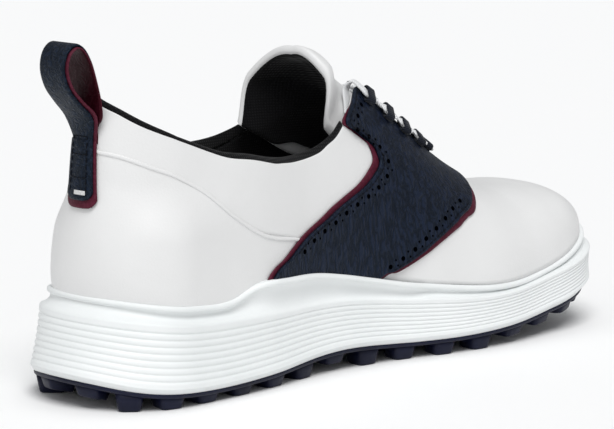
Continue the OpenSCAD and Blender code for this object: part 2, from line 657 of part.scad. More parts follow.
module pull_strap_lining() {
    color(burgundy) sheet(strap_grid(strap_half + 1.3, strap_bottom - 0.016, strap_top, 1.05),
                          strap_grid(strap_half + 1.3, strap_bottom - 0.016, strap_top, 0.4));
}

module pull_strap() {
    color(navy) sheet(strap_grid(strap_half, strap_bottom, strap_top, 2.7),
                      strap_grid(strap_half, strap_bottom, strap_top, 1.4));
}

module bar_tack() {
    function patch(off) = [for (v = [0.198, 0.206, 0.214]) [for (t = [-3.4, -1.7, 0, 1.7, 3.4]) around(t, v, off)]];
    color(white_leather) sheet(patch(3.4), patch(3));
}

function closed_curve(points, steps) =
    let (n = len(points))
    [for (i = [0:n - 1]) for (k = [0:steps - 1])
        through(points[(i + n - 1) % n], points[i], points[(i + 1) % n], points[(i + 2) % n], k / steps)];

module loop_ring(from, to, wide) {
    profile = [for (p = closed_curve(loop_outline, 4)) let (q = fit([p[0], 0, p[1]])) [q[0], q[2]]];
    translate([0, fit([0, 0, 0])[1], 0]) rotate([90, 0, 0])
        linear_extrude(height = wide * width_k, center = true) difference() {
            offset(delta = -from) polygon(profile);
            offset(delta = -to) polygon(profile);
        }
}

module pull_loop() {
    color(navy) loop_ring(0, loop_leather, strap_w);
}

module pull_loop_lining() {
    color(burgundy) loop_ring(loop_leather + 0.05, loop_leather + loop_skin, strap_w - 0.6);
}

outsole();
midsole();
shank();
forefoot_filler();
insole_board();
insole();
vamp();
heel_panel();
collar_medial();
collar_lateral();
saddle_underlay();
saddle();
toe_puff();
heel_counter();
vamp_lining();
collar_lining();
collar_foam();
topline_binding();
tongue_shell();
tongue_foam();
tongue_lining();
lace_loops_medial();
lace_loops_lateral();
lace();
pull_strap();
pull_strap_lining();
pull_loop();
pull_loop_lining();
bar_tack();
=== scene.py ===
import math

import bmesh
import bpy
import numpy as np
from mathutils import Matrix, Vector


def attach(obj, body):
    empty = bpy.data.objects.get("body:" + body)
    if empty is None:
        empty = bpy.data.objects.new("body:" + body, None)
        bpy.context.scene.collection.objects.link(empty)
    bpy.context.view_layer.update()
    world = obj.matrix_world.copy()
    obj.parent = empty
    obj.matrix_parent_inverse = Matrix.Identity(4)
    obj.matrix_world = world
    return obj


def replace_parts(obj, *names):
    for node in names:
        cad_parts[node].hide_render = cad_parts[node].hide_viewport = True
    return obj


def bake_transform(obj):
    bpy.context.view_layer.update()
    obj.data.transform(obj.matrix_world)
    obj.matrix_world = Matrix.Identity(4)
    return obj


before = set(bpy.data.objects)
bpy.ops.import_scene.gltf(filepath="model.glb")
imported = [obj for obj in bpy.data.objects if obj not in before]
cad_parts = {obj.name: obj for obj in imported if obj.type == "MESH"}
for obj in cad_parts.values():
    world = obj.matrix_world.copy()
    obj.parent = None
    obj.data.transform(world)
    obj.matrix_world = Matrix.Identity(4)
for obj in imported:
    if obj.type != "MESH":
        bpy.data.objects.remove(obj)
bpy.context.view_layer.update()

MM = 0.001
# The shoe's own drawing has its heel at x = 0; the frame's origin is under the middle of the shoe.
MIDDLE = np.array([139.0, 2.2, 0.0])
MEDIAL, LATERAL = -1.0, 1.0

# ---- Camera, light and floor ---------------------------
LOOK_AT = Vector((0.003, -0.0022, 0.050))
AZIMUTH, ELEVATION, DISTANCE = -45.0, 9.8, 1.2
LENS, SENSOR, SHIFT_X, SHIFT_Y = 175.3, 36, -0.031, 0.024
FLOOR_RADIUS, FLOOR_SIDES = 30, 48


def make_camera():
    a, e = math.radians(AZIMUTH), math.radians(ELEVATION)
    back = Vector((math.sin(a) * math.cos(e), -math.cos(a) * math.cos(e), math.sin(e)))
    data = bpy.data.cameras.new("camera")
    data.lens = LENS
    data.sensor_width = SENSOR
    data.shift_x = SHIFT_X
    data.shift_y = SHIFT_Y
    data.clip_start = 0.01
    data.clip_end = 100
    camera = bpy.data.objects.new("camera", data)
    camera.location = LOOK_AT + DISTANCE * back
    camera.rotation_euler = back.to_track_quat("Z", "Y").to_euler()
    bpy.context.scene.collection.objects.link(camera)
    bpy.context.scene.camera = camera


def make_studio():
    scene = bpy.context.scene
    scene.view_settings.view_transform = "Standard"
    world = bpy.data.worlds.new("studio")
    world.use_nodes = True
    scene.world = world
    nodes, links = world.node_tree.nodes, world.node_tree.links
    soft = nodes["Background"]
    soft.inputs["Color"].default_value = (0.97, 0.985, 1, 1)
    soft.inputs["Strength"].default_value = 0.41
    seen = nodes.new("ShaderNodeBackground")
    seen.inputs["Color"].default_value = (1, 1, 1, 1)
    either = nodes.new("ShaderNodeMixShader")
    path = nodes.new("ShaderNodeLightPath")
    links.new(path.outputs["Is Camera Ray"], either.inputs["Fac"])
    links.new(soft.outputs[0], either.inputs[1])
    links.new(seen.outputs[0], either.inputs[2])
    links.new(either.outputs[0], nodes["World Output"].inputs["Surface"])
    for name, strength, spread, turn in (
        ("key", 1.98, 34, (24, -20, 0)),
        ("fill", 0.25, 70, (60, 10, -70)),
    ):
        data = bpy.data.lights.new(name, "SUN")
        data.energy = strength
        data.angle = math.radians(spread)
        light = bpy.data.objects.new(name, data)
        light.rotation_euler = [math.radians(v) for v in turn]
        scene.collection.objects.link(light)
    floor = bpy.data.meshes.new("floor")
    turns = np.linspace(0, 2 * math.pi, FLOOR_SIDES + 1)[:-1]
    corners = [(FLOOR_RADIUS * math.cos(t), FLOOR_RADIUS * math.sin(t), 0) for t in turns]
    floor.from_pydata(corners, [], [list(range(FLOOR_SIDES))])
    floor_object = bpy.data.objects.new("floor", floor)
    scene.collection.objects.link(floor_object)
    paper = bpy.data.materials.new("floor_paper")
    paper.use_nodes = True
    matt = {"Base Color": (0.985, 0.985, 0.985, 1), "Roughness": 0.9, "Specular IOR Level": 0.1}
    for key, value in matt.items():
        paper.node_tree.nodes["Principled BSDF"].inputs[key].default_value = value
    floor.materials.append(paper)


make_camera()
make_studio()


# ---- Materials -----------------------------------------
# Blender's wave texture repeats every 0.314 units at a scale of 1
WAVE_PERIOD = 0.314


class Finish:
    """A procedural material: a shader with the few textures that drive its colour and relief."""

    def __init__(self, name, colour, rough, **shader):
        self.material = bpy.data.materials.new(name)
        self.material.use_nodes = True
        self.tree = self.material.node_tree
        self.shader = self.tree.nodes["Principled BSDF"]
        self.normal = None
        self.set(self.shader, Base_Color=(*colour, 1), Roughness=rough, **shader)

    def put(self, socket, value):
        """Gives an input a value, or links it to another node's output."""
        if isinstance(value, bpy.types.NodeSocket):
            self.tree.links.new(value, socket)
        else:
            socket.default_value = value

    def set(self, node, **inputs):
        for key, value in inputs.items():
            self.put(node.inputs[key.replace("_", " ")], value)

    def add(self, kind, **inputs):
        node = self.tree.nodes.new("ShaderNode" + kind)
        self.set(node, **inputs)
        return node

    def coords(self, kind, stretch=(1, 1, 1)):
        where = self.add("TexCoord").outputs[kind]
        return self.add("Mapping", Scale=stretch, Vector=where).outputs["Vector"]

    def noise(self, size, detail=2.0, stretch=(1, 1, 1), twist=0.0):
        """Noise whose features are about size metres across."""
        return self.add("TexNoise", Scale=1 / size, Detail=detail, Distortion=twist,
                        Vector=self.coords("Object", stretch)).outputs["Fac"]

    def cells(self, size, stretch=(1, 1, 1)):
        """Distance from the middles of cells about size metres across."""
        return self.add("TexVoronoi", Scale=1 / size,
                        Vector=self.coords("Object", stretch)).outputs["Distance"]

    def wave(self, size, direction, kind):
        """Bands size units apart."""
        node = self.add("TexWave", Scale=WAVE_PERIOD / size, Vector=self.coords(kind))
        node.bands_direction = direction
        return node.outputs["Fac"]

    def math(self, operation, a, b=None, clamp=False):
        node = self.add("Math")
        node.operation = operation
        node.use_clamp = clamp
        for socket, value in zip(node.inputs, (a, b)):
            if value is not None:
                self.put(socket, value)
        return node.outputs[0]

    def bump(self, height, depth, strength):
        node = self.add("Bump", Distance=depth, Strength=strength, Height=height)
        if self.normal is not None:
            self.set(node, Normal=self.normal)
        self.normal = node.outputs["Normal"]
        self.set(self.shader, Normal=self.normal)

    def colour(self, factor, low, high, start=0.3, end=0.7):
        node = self.add("ValToRGB", Fac=factor)
        for stop, place, value in zip(node.color_ramp.elements, (start, end), (low, high)):
            stop.position, stop.color = place, (*value, 1)
        self.set(self.shader, Base_Color=node.outputs["Color"])

    def rough(self, factor, low, high):
        node = self.add("MapRange", Value=factor, From_Min=0.3, From_Max=0.7, To_Min=low, To_Max=high)
        self.set(self.shader, Roughness=node.outputs["Result"])


def smooth_leather(name, low, high):
    f = Finish(name, high, 0.45, Specular_IOR_Level=0.4)
    f.colour(f.noise(0.035, 3), low, high)
    f.rough(f.noise(0.012, 3), 0.40, 0.52)
    f.bump(f.noise(0.011, 2), 0.0003, 0.35)
    f.bump(f.cells(0.0009), 0.00007, 0.5)
    return f.material


def tumbled_leather(name, low, high, tint, stretch=(1, 1, 1), depth=0.0004):
    """Wrinkled leather whose reflections take the colour tint."""
    f = Finish(name, high, 0.5, Specular_IOR_Level=0.24, Specular_Tint=(*tint, 1))
    wrinkle = f.math("ABSOLUTE", f.math("SUBTRACT", f.noise(0.0022, 3, stretch=stretch, twist=0.4), 0.5))
    crease_and_painted_shade = f.math("MULTIPLY", wrinkle, 6.0, clamp=True)
    grain = f.cells(0.001, stretch=stretch)
    # The colour is darker along the crease grooves: painted shade in the creases.
    f.colour(crease_and_painted_shade, low, high, 0.05, 0.7)
    f.rough(f.noise(0.004, 3), 0.42, 0.56)
    f.bump(crease_and_painted_shade, depth, 0.7)
    f.bump(grain, depth / 3, 0.5)
    return f.material


def knit_fabric(name, low, high, pitch, sheen=0.3):
    f = Finish(name, high, 0.9, Sheen_Weight=sheen, Sheen_Roughness=0.5, Specular_IOR_Level=0.15)
    across = f.wave(pitch, "X", "Object")
    along = f.wave(pitch, "Z", "Object")
    weave = f.math("MULTIPLY", across, along)
    f.colour(weave, low, high, 0.1, 0.8)
    f.bump(weave, 0.0003, 0.6)
    return f.material


def moulded(name, low, high, rough, grain=0.0012, depth=0.00006, shine=0.45):
    f = Finish(name, high, rough, Specular_IOR_Level=shine)
    f.colour(f.noise(0.03, 3), low, high)
    f.rough(f.noise(0.008, 2), rough - 0.05, rough + 0.06)
    f.bump(f.noise(grain, 2), depth, 0.6)
    return f.material


def woven_tape(name, low, high, rib, sheen=0.25):
    """Ribs across a tape whose UV runs along it in millimetres."""
    f = Finish(name, high, 0.8, Sheen_Weight=sheen, Sheen_Roughness=0.4, Specular_IOR_Level=0.2)
    twill = f.wave(rib, "DIAGONAL", "UV")
    f.colour(twill, low, high, 0.15, 0.7)
    f.bump(twill, 0.00025, 0.8)
    f.bump(f.noise(0.0006, 2), 0.0001, 0.5)
    return f.material


WHITE = smooth_leather("white_leather", (0.74, 0.74, 0.738), (0.78, 0.78, 0.778))
NAVY = tumbled_leather("navy_tumbled_leather", (0.001, 0.002, 0.006), (0.007, 0.011, 0.026),
                       (0.6, 0.78, 1), stretch=(1, 1, 0.3))
NAVY_STRAP = tumbled_leather("navy_strap_leather", (0.001, 0.002, 0.006), (0.006, 0.010, 0.022),
                             (0.6, 0.8, 1))
BURGUNDY = tumbled_leather("burgundy_leather", (0.065, 0.009, 0.019), (0.090, 0.014, 0.029),
                           (1, 0.5, 0.6), depth=0.00008)
# A darker copy of the burgundy for the backing's inner face: painted shade inside the pull loop
BURGUNDY_SHADED_INSIDE = tumbled_leather("burgundy_inside_painted_shade", (0.016, 0.001, 0.003), (0.028, 0.003, 0.007),
                                  (1, 0.3, 0.4), depth=0.00008)
FOAM = moulded("midsole_foam", (0.80, 0.825, 0.825), (0.845, 0.865, 0.865), 0.5)
RUBBER = moulded("navy_rubber", (0.003, 0.004, 0.016), (0.007, 0.009, 0.030), 0.45, shine=0.22)
LINING = knit_fabric("black_knit_lining", (0.001, 0.001, 0.0015), (0.005, 0.005, 0.006), 0.0011, 0.12)
GREY_LINING = knit_fabric("grey_toe_lining", (0.42, 0.42, 0.42), (0.62, 0.62, 0.61), 0.0012)
FOOTBED = knit_fabric("footbed_fabric", (0.012, 0.013, 0.016), (0.035, 0.037, 0.042), 0.0014)
LACE = woven_tape("white_lace", (0.66, 0.67, 0.68), (0.90, 0.91, 0.92), 0.55)
WEBBING = woven_tape("navy_webbing", (0.003, 0.005, 0.010), (0.012, 0.015, 0.026), 0.5, 0.1)
THREAD = woven_tape("navy_thread", (0.001, 0.002, 0.004), (0.004, 0.005, 0.010), 0.3, 0.0)
TACK = woven_tape("white_thread", (0.62, 0.62, 0.63), (0.90, 0.90, 0.91), 0.3)
# Near-black, matt colour for the punched holes: painted shade inside them
PUNCH_SHADE = moulded("punched_hole_painted_shade", (0.0002, 0.0002, 0.0004), (0.0004, 0.0004, 0.0008), 1.0, shine=0.0)
BOARD = moulded("fibre_board", (0.30, 0.24, 0.15), (0.42, 0.35, 0.23), 0.75, 0.0008, 0.0001)
STEEL = moulded("shank_steel", (0.18, 0.19, 0.20), (0.28, 0.29, 0.30), 0.4)
PADDING = moulded("padding_foam", (0.60, 0.55, 0.38), (0.72, 0.67, 0.50), 0.85, 0.0006, 0.0003)


# ---- Curves through a few stations ---------------------
def curve(table, x):
    """Smooth value at x of a table of (station, value) rows."""
    table = np.asarray(table, float)
    xs, ys = table[:, 0], table[:, 1]
    gap = np.diff(xs)
    rise = np.diff(ys) / gap
    slope = np.empty(len(xs))
    slope[0], slope[-1] = rise[0], rise[-1]
    slope[1:-1] = (rise[1:] * gap[:-1] + rise[:-1] * gap[1:]) / (gap[1:] + gap[:-1])
    x = np.clip(x, xs[0], xs[-1])
    i = np.clip(np.searchsorted(xs, x, side="right") - 1, 0, len(xs) - 2)
    h = gap[i]
    t = (x - xs[i]) / h
    return ((2 * t**3 - 3 * t**2 + 1) * ys[i] + (t**3 - 2 * t**2 + t) * h * slope[i]
            + (3 * t**2 - 2 * t**3) * ys[i + 1] + (t**3 - t**2) * h * slope[i + 1])


def signed_power(x, p):
    return np.sign(x) * np.abs(x) ** p


def smooth(t):
    c = np.clip(t, 0, 1)
    return c * c * (3 - 2 * c)


def mix(a, b, t):
    return a + (b - a) * t


def through(points, steps):
    """A smooth curve through the rows of points, with steps pieces between neighbours."""
    p = np.asarray(points, float)
    n = len(p) - 1
    rows = []
    for i in range(n):
        a, b, c, d = p[max(i - 1, 0)], p[i], p[i + 1], p[min(i + 2, n)]
        for t in np.arange(steps) / steps:
            rows.append(0.5 * (2 * b + (c - a) * t + (2 * a - 5 * b + 4 * c - d) * t**2
                               + (3 * b - a - 3 * c + d) * t**3))
    rows.append(p[n])
    return np.array(rows)


def between(table, f):
    """Rows of a table at positions f from 0 to 1, by straight lines between neighbours."""
    table = np.asarray(table, float)
    x = np.clip(f, 0, 1) * (len(table) - 1)
    i = np.clip(x.astype(int), 0, len(table) - 2)
    t = (x - i)[..., None]
    return table[i] * (1 - t) + table[i + 1] * t


# ---- The last: the surface of the closed upper ---------
# A place on it is a station s from heel to toe, a side, a height v from 0 at the rim to 1 on the
# ridge, and off, the distance outside it. The tables are in mm, by station or (LEAN) by height.
HEEL_S, TOE_S, HEEL_X, TOE_X = -12.0, 300.0, 40.0, 225.0
HEEL_RADIUS, TOE_REACH, TOE_POWER, TOE_SWING = 31.0, 48.0, 2.3, -4.0
HALF_MEDIAL = [[40, 33], [75, 32], [110, 28.5], [140, 30.5], [175, 38], [205, 42], [225, 41]]
HALF_LATERAL = [[40, 34], [75, 35], [110, 37], [140, 39.5], [175, 43], [205, 45], [225, 44]]
RIDGE = [[-10, 128], [40, 130], [80, 131], [110, 127], [130, 121], [145, 114], [158, 105.2],
         [170, 95], [185, 81.7], [200, 70.7], [214, 63.2], [226, 60], [240, 59.4], [256, 59.8],
         [270, 56.2], [285, 48]]
SECTION = [[0, 2.7], [40, 2.6], [90, 2.4], [130, 2], [155, 1.8], [185, 1.8], [205, 2], [230, 2.4],
           [285, 2.8]]
RIM = [[0, 44], [15, 41.5], [40, 38], [60, 37.8], [74, 42.5], [90, 42.5], [105, 41.7], [121, 39],
       [135, 36], [154, 32], [176, 28.5], [199, 26], [217, 26.5], [240, 31], [262, 38], [285, 46]]
LEAN = [[36, 2], [44, 0.6], [52, 0.8], [60, 1.8], [70, 3.4], [80, 4.2], [90, 3.8], [100, 3], [115, 1.8]]
PINCH = 0.3


def last(s, side, v, off=0.0):
    s, side, v, off = np.broadcast_arrays(*(np.asarray(q, float) for q in (s, side, v, off)))
    centre = np.clip(s, HEEL_X, TOE_X)
    a = np.radians(np.clip((s - HEEL_S) / (HEEL_X - HEEL_S), 0, 1) * 90)
    b = np.radians(np.clip((s - TOE_X) / (TOE_S - TOE_X), 0, 1) * 90)
    w = np.where(side < 0, curve(HALF_MEDIAL, centre), curve(HALF_LATERAL, centre))
    reach = TOE_REACH * np.sin(b) ** (2 / TOE_POWER)
    x0 = np.where(s < HEEL_X, HEEL_X - HEEL_RADIUS * np.cos(a), np.where(s > TOE_X, TOE_X + reach, s))
    y0 = np.where(s < HEEL_X, side * w * np.sin(a),
                  np.where(s > TOE_X, side * w * np.maximum(np.cos(b), 0) ** (2 / TOE_POWER)
                           + TOE_SWING * (reach / TOE_REACH) ** 2, side * w))
    d = np.hypot(x0 - centre, y0)
    ox, oy = x0 + (x0 - centre) / d * off, y0 + y0 / d * off
    phi = np.radians(np.clip(v, -0.5, 1) * 90)
    p = curve(SECTION, ox)
    across = np.maximum(np.cos(phi), 0) ** (2 / p)
    up = signed_power(np.sin(phi), 2 / p)
    x = centre + (ox - centre) * across
    foot = curve(RIM, ox)
    z = foot + (curve(RIDGE, x) + off - foot) * up
    x = x + curve(LEAN, z) * (1 - smooth((x - 9) / 70))
    narrow = 1 - PINCH * smooth((z - 62) / 22) * (1 - smooth((x - 12) / 60))
    return np.stack([x, oy * across * narrow, z], -1)


def around(t, v, off=0.0):
    """A place t mm round from the middle of the heel, negative on the medial side."""
    t = np.asarray(t, float)
    return last(HEEL_S + np.abs(t), np.where(t < 0, MEDIAL, LATERAL), v, off)


def unit(p):
    return p / np.maximum(np.linalg.norm(p, axis=-1, keepdims=True), 1e-9)


def up_from(s, side, v):
    """The direction straight out of the surface."""
    along = last(s + 1, side, v) - last(s - 1, side, v)
    rising = last(s, side, v) - last(s, side, v - 0.03)
    return unit(np.cross(along, rising)) * -np.asarray(side, float)[..., None]


# ---- Meshes --------------------------------------------
def add_piece(name, points, faces, materials, body, uv=None, pick=None, bend=None):
    """A mesh piece from points in the shoe's drawing, in mm. pick gives each face's material."""
    mesh = bpy.data.meshes.new(name)
    points = (np.asarray(points, float).reshape(-1, 3) - MIDDLE) * MM
    mesh.from_pydata(points.tolist(), [], [list(map(int, f)) for f in faces])
    materials = materials if isinstance(materials, list) else [materials]
    for material in materials:
        mesh.materials.append(material)
    if pick is not None:
        mesh.polygons.foreach_set("material_index", np.asarray(pick, np.int32))
    if uv is not None:
        layer = mesh.uv_layers.new(name="UVMap")
        corner = np.empty(len(mesh.loops), np.int32)
        mesh.loops.foreach_get("vertex_index", corner)
        layer.data.foreach_set("uv", np.asarray(uv, float)[corner].astype(np.float32).ravel())
    work = bmesh.new()
    work.from_mesh(mesh)
    bmesh.ops.dissolve_degenerate(work, dist=1e-7, edges=work.edges)
    bmesh.ops.recalc_face_normals(work, faces=work.faces)
    work.to_mesh(mesh)
    work.free()
    mesh.shade_smooth()
    piece = bpy.data.objects.new(name, mesh)
    bpy.context.scene.collection.objects.link(piece)
    if bend:
        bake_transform(piece)
    else:
        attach(piece, body)
    return piece


def grid_faces(rows, cols, first=0, wrap=False):
    i, j = np.meshgrid(np.arange(rows - 1), np.arange(cols if wrap else cols - 1), indexing="ij")
    k = (j + 1) % cols
    return np.stack([first + i * cols + j, first + (i + 1) * cols + j,
                     first + (i + 1) * cols + k, first + i * cols + k], -1).reshape(-1, 4)


def closed_sheet(outer, inner):
    """Points and faces of a sheet with an outer and an inner grid of the same shape."""
    rows, cols = outer.shape[:2]
    total = rows * cols
    front = grid_faces(rows, cols)
    back = grid_faces(rows, cols, total)[:, ::-1]
    ring = np.array(list(range(cols)) + [i * cols + cols - 1 for i in range(1, rows)]
                    + [(rows - 1) * cols + j for j in range(cols - 2, -1, -1)]
                    + [i * cols for i in range(rows - 2, 0, -1)])
    nxt = np.roll(ring, -1)
    side = np.stack([ring, nxt, nxt + total, ring + total], -1)
    points = np.concatenate([outer.reshape(-1, 3), inner.reshape(-1, 3)])
    return points, np.concatenate([front, back, side])


def soft_steps(count, edge):
    """Positions from 0 to 1 with one extra close to each end, for a rounded edge."""
    return np.concatenate([[0, edge], np.linspace(edge * 3, 1 - edge * 3, count), [1 - edge, 1]])


def leather(name, place, cols, rows, low, high, material, round_off=0.35, edges=(1, 1, 1, 1)):
    """A leather sheet: place(a, b, off) gives points, a along the columns and b along the rows.

    edges says which of its first row, last row, first column and last column are rounded."""
    a, b = np.meshgrid(cols, rows)
    rim = np.zeros_like(a)
    for rounded, where in zip(edges, (np.s_[0], np.s_[-1], np.s_[:, 0], np.s_[:, -1])):
        if rounded:
            rim[where] = 1
    outer = place(a, b, high - rim * round_off * (high - low))
    inner = place(a, b, low + 0 * a)
    points, faces = closed_sheet(outer, inner)
    return add_piece(name, points, faces, material, "shoe")


def grid_normals(grid):
    return unit(np.cross(np.gradient(grid, axis=1), np.gradient(grid, axis=0)))


def run_length(path):
    """Distance along a path at each of its points."""
    return np.concatenate([[0], np.cumsum(np.linalg.norm(np.diff(path, axis=0), axis=1))])


def uv_grid(path, across):
    """Texture places along a path in mm, and across it."""
    return np.stack(np.broadcast_arrays(run_length(path)[:, None], across[None]), -1).reshape(-1, 2)


def tube_faces(rows, cols):
    """Faces of a tube through rows of cols points, closed at both ends."""
    ends = [list(range(cols))[::-1], [(rows - 1) * cols + k for k in range(cols)]]
    return grid_faces(rows, cols, wrap=True).tolist() + ends


def oval(count, wide, high):
    turns = np.linspace(0, 2 * math.pi, count + 1)[:-1]
    return [[wide * math.cos(t), high * math.sin(t)] for t in turns]


def swept(path, ups, section):
    """Points and faces of a closed section swept along a path; section rows are (sideways, up)."""
    ahead = unit(np.gradient(path, axis=0))
    sideways = unit(np.cross(ahead, ups))
    up = np.cross(sideways, ahead)
    section = np.asarray(section, float)
    points = path[:, None] + section[None, :, :1] * sideways[:, None] + section[None, :, 1:] * up[:, None]
    return points.reshape(-1, 3), tube_faces(*points.shape[:2]), uv_grid(path, run_length(section))


def rounded_section(wide, thick, steps=5):
    """A flat section with round edges, as (sideways, up) points."""
    r = thick / 2
    out = []
    for end in (1, -1):
        for t in np.linspace(-90, 90, steps):
            c, q = math.cos(math.radians(t)), math.sin(math.radians(t))
            out.append([end * (wide / 2 - r + r * c), end * r * q])
    return np.array(out)


def merge(parts):
    """Several (points, faces, uv) as one."""
    points, faces, uvs, first = [], [], [], 0
    for p, f, uv in parts:
        points.append(p)
        faces += [[int(k) + first for k in face] for face in f]
        uvs.append(uv)
        first += len(p)
    return np.concatenate(points), faces, np.concatenate(uvs)


def add_merged(name, parts, material, body, bend=None):
    points, faces, uv = merge(parts)
    return add_piece(name, points, faces, material, body, uv, bend=bend)


def resample(path, ups, pitch):
    """Points, upward and forward directions every pitch mm along a path."""
    length = run_length(path)
    at = np.arange(pitch / 2, length[-1], pitch)

    def read(rows, where):
        return np.stack([np.interp(where, length, rows[:, k]) for k in range(3)], -1)

    return read(path, at), unit(read(ups, at)), unit(read(path, at + 0.2) - read(path, at - 0.2))


def stitch_row(path, ups, pitch, length, radius):
    """Short arched threads laid along a path."""
    points, up, ahead = resample(path, ups, pitch)
    parts = []
    for p, u, a in zip(points, up, ahead):
        f = np.linspace(-1, 1, 6)
        line = p + np.outer(f * length / 2, a) + np.outer((1 - f**2) * radius * 0.9 - 0.1, u)
        parts.append(swept(line, np.repeat(u[None], len(f), 0), oval(6, radius, radius)))
    return parts


def punch_row(path, ups, pitch, big=0.92, small=0.42, spread=1.2):
    """A row of punched holes: one large, then a pair of small ones across the row. Each hole is a flat
    near-black disc on the surface: painted shade for its depth.
    """
    points, up, ahead = resample(path, ups, pitch / 2)
    parts = []

    def disc(centre, u, a, radius):
        n = 16
        t = np.linspace(0, 2 * math.pi, n + 1)[:-1]
        spokes = np.outer(np.cos(t), a) + np.outer(np.sin(t), np.cross(u, a))
        ring = centre + radius * spokes
        lip = centre + radius * 1.2 * spokes - 0.12 * u
        faces = [[k, (k + 1) % n, n] for k in range(n)]
        faces += [[k, k + n + 1, (k + 1) % n + n + 1, (k + 1) % n] for k in range(n)]
        p = np.concatenate([ring, [centre - 0.02 * u], lip])
        parts.append((p, faces, np.zeros((len(p), 2))))

    for k, (p, u, a) in enumerate(zip(points, up, ahead)):
        if k % 2 == 0:
            disc(p, u, a, big)
        else:
            for side in (-1, 1):
                disc(p + side * spread * np.cross(u, a), u, a, small)
    return parts


# ---- Sole unit -----------------------------------------
SOLE_HEEL_S, SOLE_TOE_S, SOLE_HEEL_X, SOLE_TOE_X = -20.0, 305.0, 38.0, 230.0
SOLE_HEEL_RADIUS, SOLE_TOE_REACH, SOLE_POWER = 38.0, 49.0, 2.25
SOLE_MEDIAL = [[38, 37.6], [75, 36.8], [110, 32.8], [145, 35.1], [180, 43.7], [205, 46.5], [230, 45]]
SOLE_LATERAL = [[38, 39.5], [75, 40], [110, 42], [145, 45], [180, 49], [205, 51], [230, 49]]
TREAD_TOP = [[0, 12], [15, 8], [40, 5.5], [80, 6], [120, 8.6], [160, 7], [200, 8], [240, 13], [265, 18],
             [285, 24]]
RIB_TOP = [[0, 36], [40, 31], [80, 29.6], [120, 28.5], [160, 24.2], [200, 22], [240, 27], [285, 36]]
BED = [[0, 33], [40, 31.5], [80, 31], [120, 28.5], [160, 23.5], [200, 20.5], [240, 23], [265, 28],
       [285, 34]]
# Points on each half of a loop round the sole
LOOP_HALF = 130


def sole_edge(s, side, inset, back=0.0, front=0.0):
    s, side = np.broadcast_arrays(np.asarray(s, float), np.asarray(side, float))
    a = np.radians(np.clip((s - SOLE_HEEL_S) / (SOLE_HEEL_X - SOLE_HEEL_S), 0, 1) * 90)
    b = np.radians(np.clip((s - SOLE_TOE_X) / (SOLE_TOE_S - SOLE_TOE_X), 0, 1) * 90)
    c = np.clip(s, SOLE_HEEL_X, SOLE_TOE_X)
    w = np.where(side < 0, curve(SOLE_MEDIAL, c), curve(SOLE_LATERAL, c)) - inset
    reach = (SOLE_TOE_REACH - inset - front) * np.sin(b) ** (2 / SOLE_POWER)
    x = np.where(s < SOLE_HEEL_X, SOLE_HEEL_X - (SOLE_HEEL_RADIUS - inset - back) * np.cos(a),
                 np.where(s > SOLE_TOE_X, SOLE_TOE_X + reach, s))
    y = np.where(s < SOLE_HEEL_X, side * w * np.sin(a),
                 np.where(s > SOLE_TOE_X, side * w * np.maximum(np.cos(b), 0) ** (2 / SOLE_POWER)
                          + TOE_SWING * (reach / SOLE_TOE_REACH) ** 2, side * w))
    return x, y


LOOP_K = np.arange(2 * LOOP_HALF)
LOOP_PART = np.where(LOOP_K <= LOOP_HALF, LOOP_K, 2 * LOOP_HALF - LOOP_K) / LOOP_HALF
LOOP_STATION = mix(SOLE_HEEL_S, SOLE_TOE_S, LOOP_PART)
LOOP_SIDE = np.where(LOOP_K <= LOOP_HALF, MEDIAL, LATERAL)


def sole_loop(table, lift, inset, back=0.0, front=0.0):
    """A loop round the sole, inset from its outline, at lift above a table of heights."""
    x, y = sole_edge(LOOP_STATION, LOOP_SIDE, inset, back, front)
    return np.stack([x, y, curve(table, x) + lift], -1)


def inward(loop):
    """Level directions from a loop toward the middle of the sole."""
    c = np.clip(loop[:, 0], SOLE_HEEL_X, SOLE_TOE_X)
    d = np.hypot(loop[:, 0] - c, loop[:, 1])
    return np.stack([(c - loop[:, 0]) / d, -loop[:, 1] / d, 0 * d], -1)


def stacked(loops):
    """Points and faces of a solid with a wall through the loops and a flat face at each end."""
    n, rows = len(loops[0]), len(loops)
    faces = grid_faces(rows, n, wrap=True).tolist()
    half = n // 2
    for first, flip in ((0, 1), ((rows - 1) * n, -1)):
        for k in range(half):
            face = list(dict.fromkeys([first + k, first + k + 1, first + n - k - 1, first + (n - k) % n]))
            if len(face) > 2:
                faces.append(face[::flip])
    return np.concatenate(loops), faces


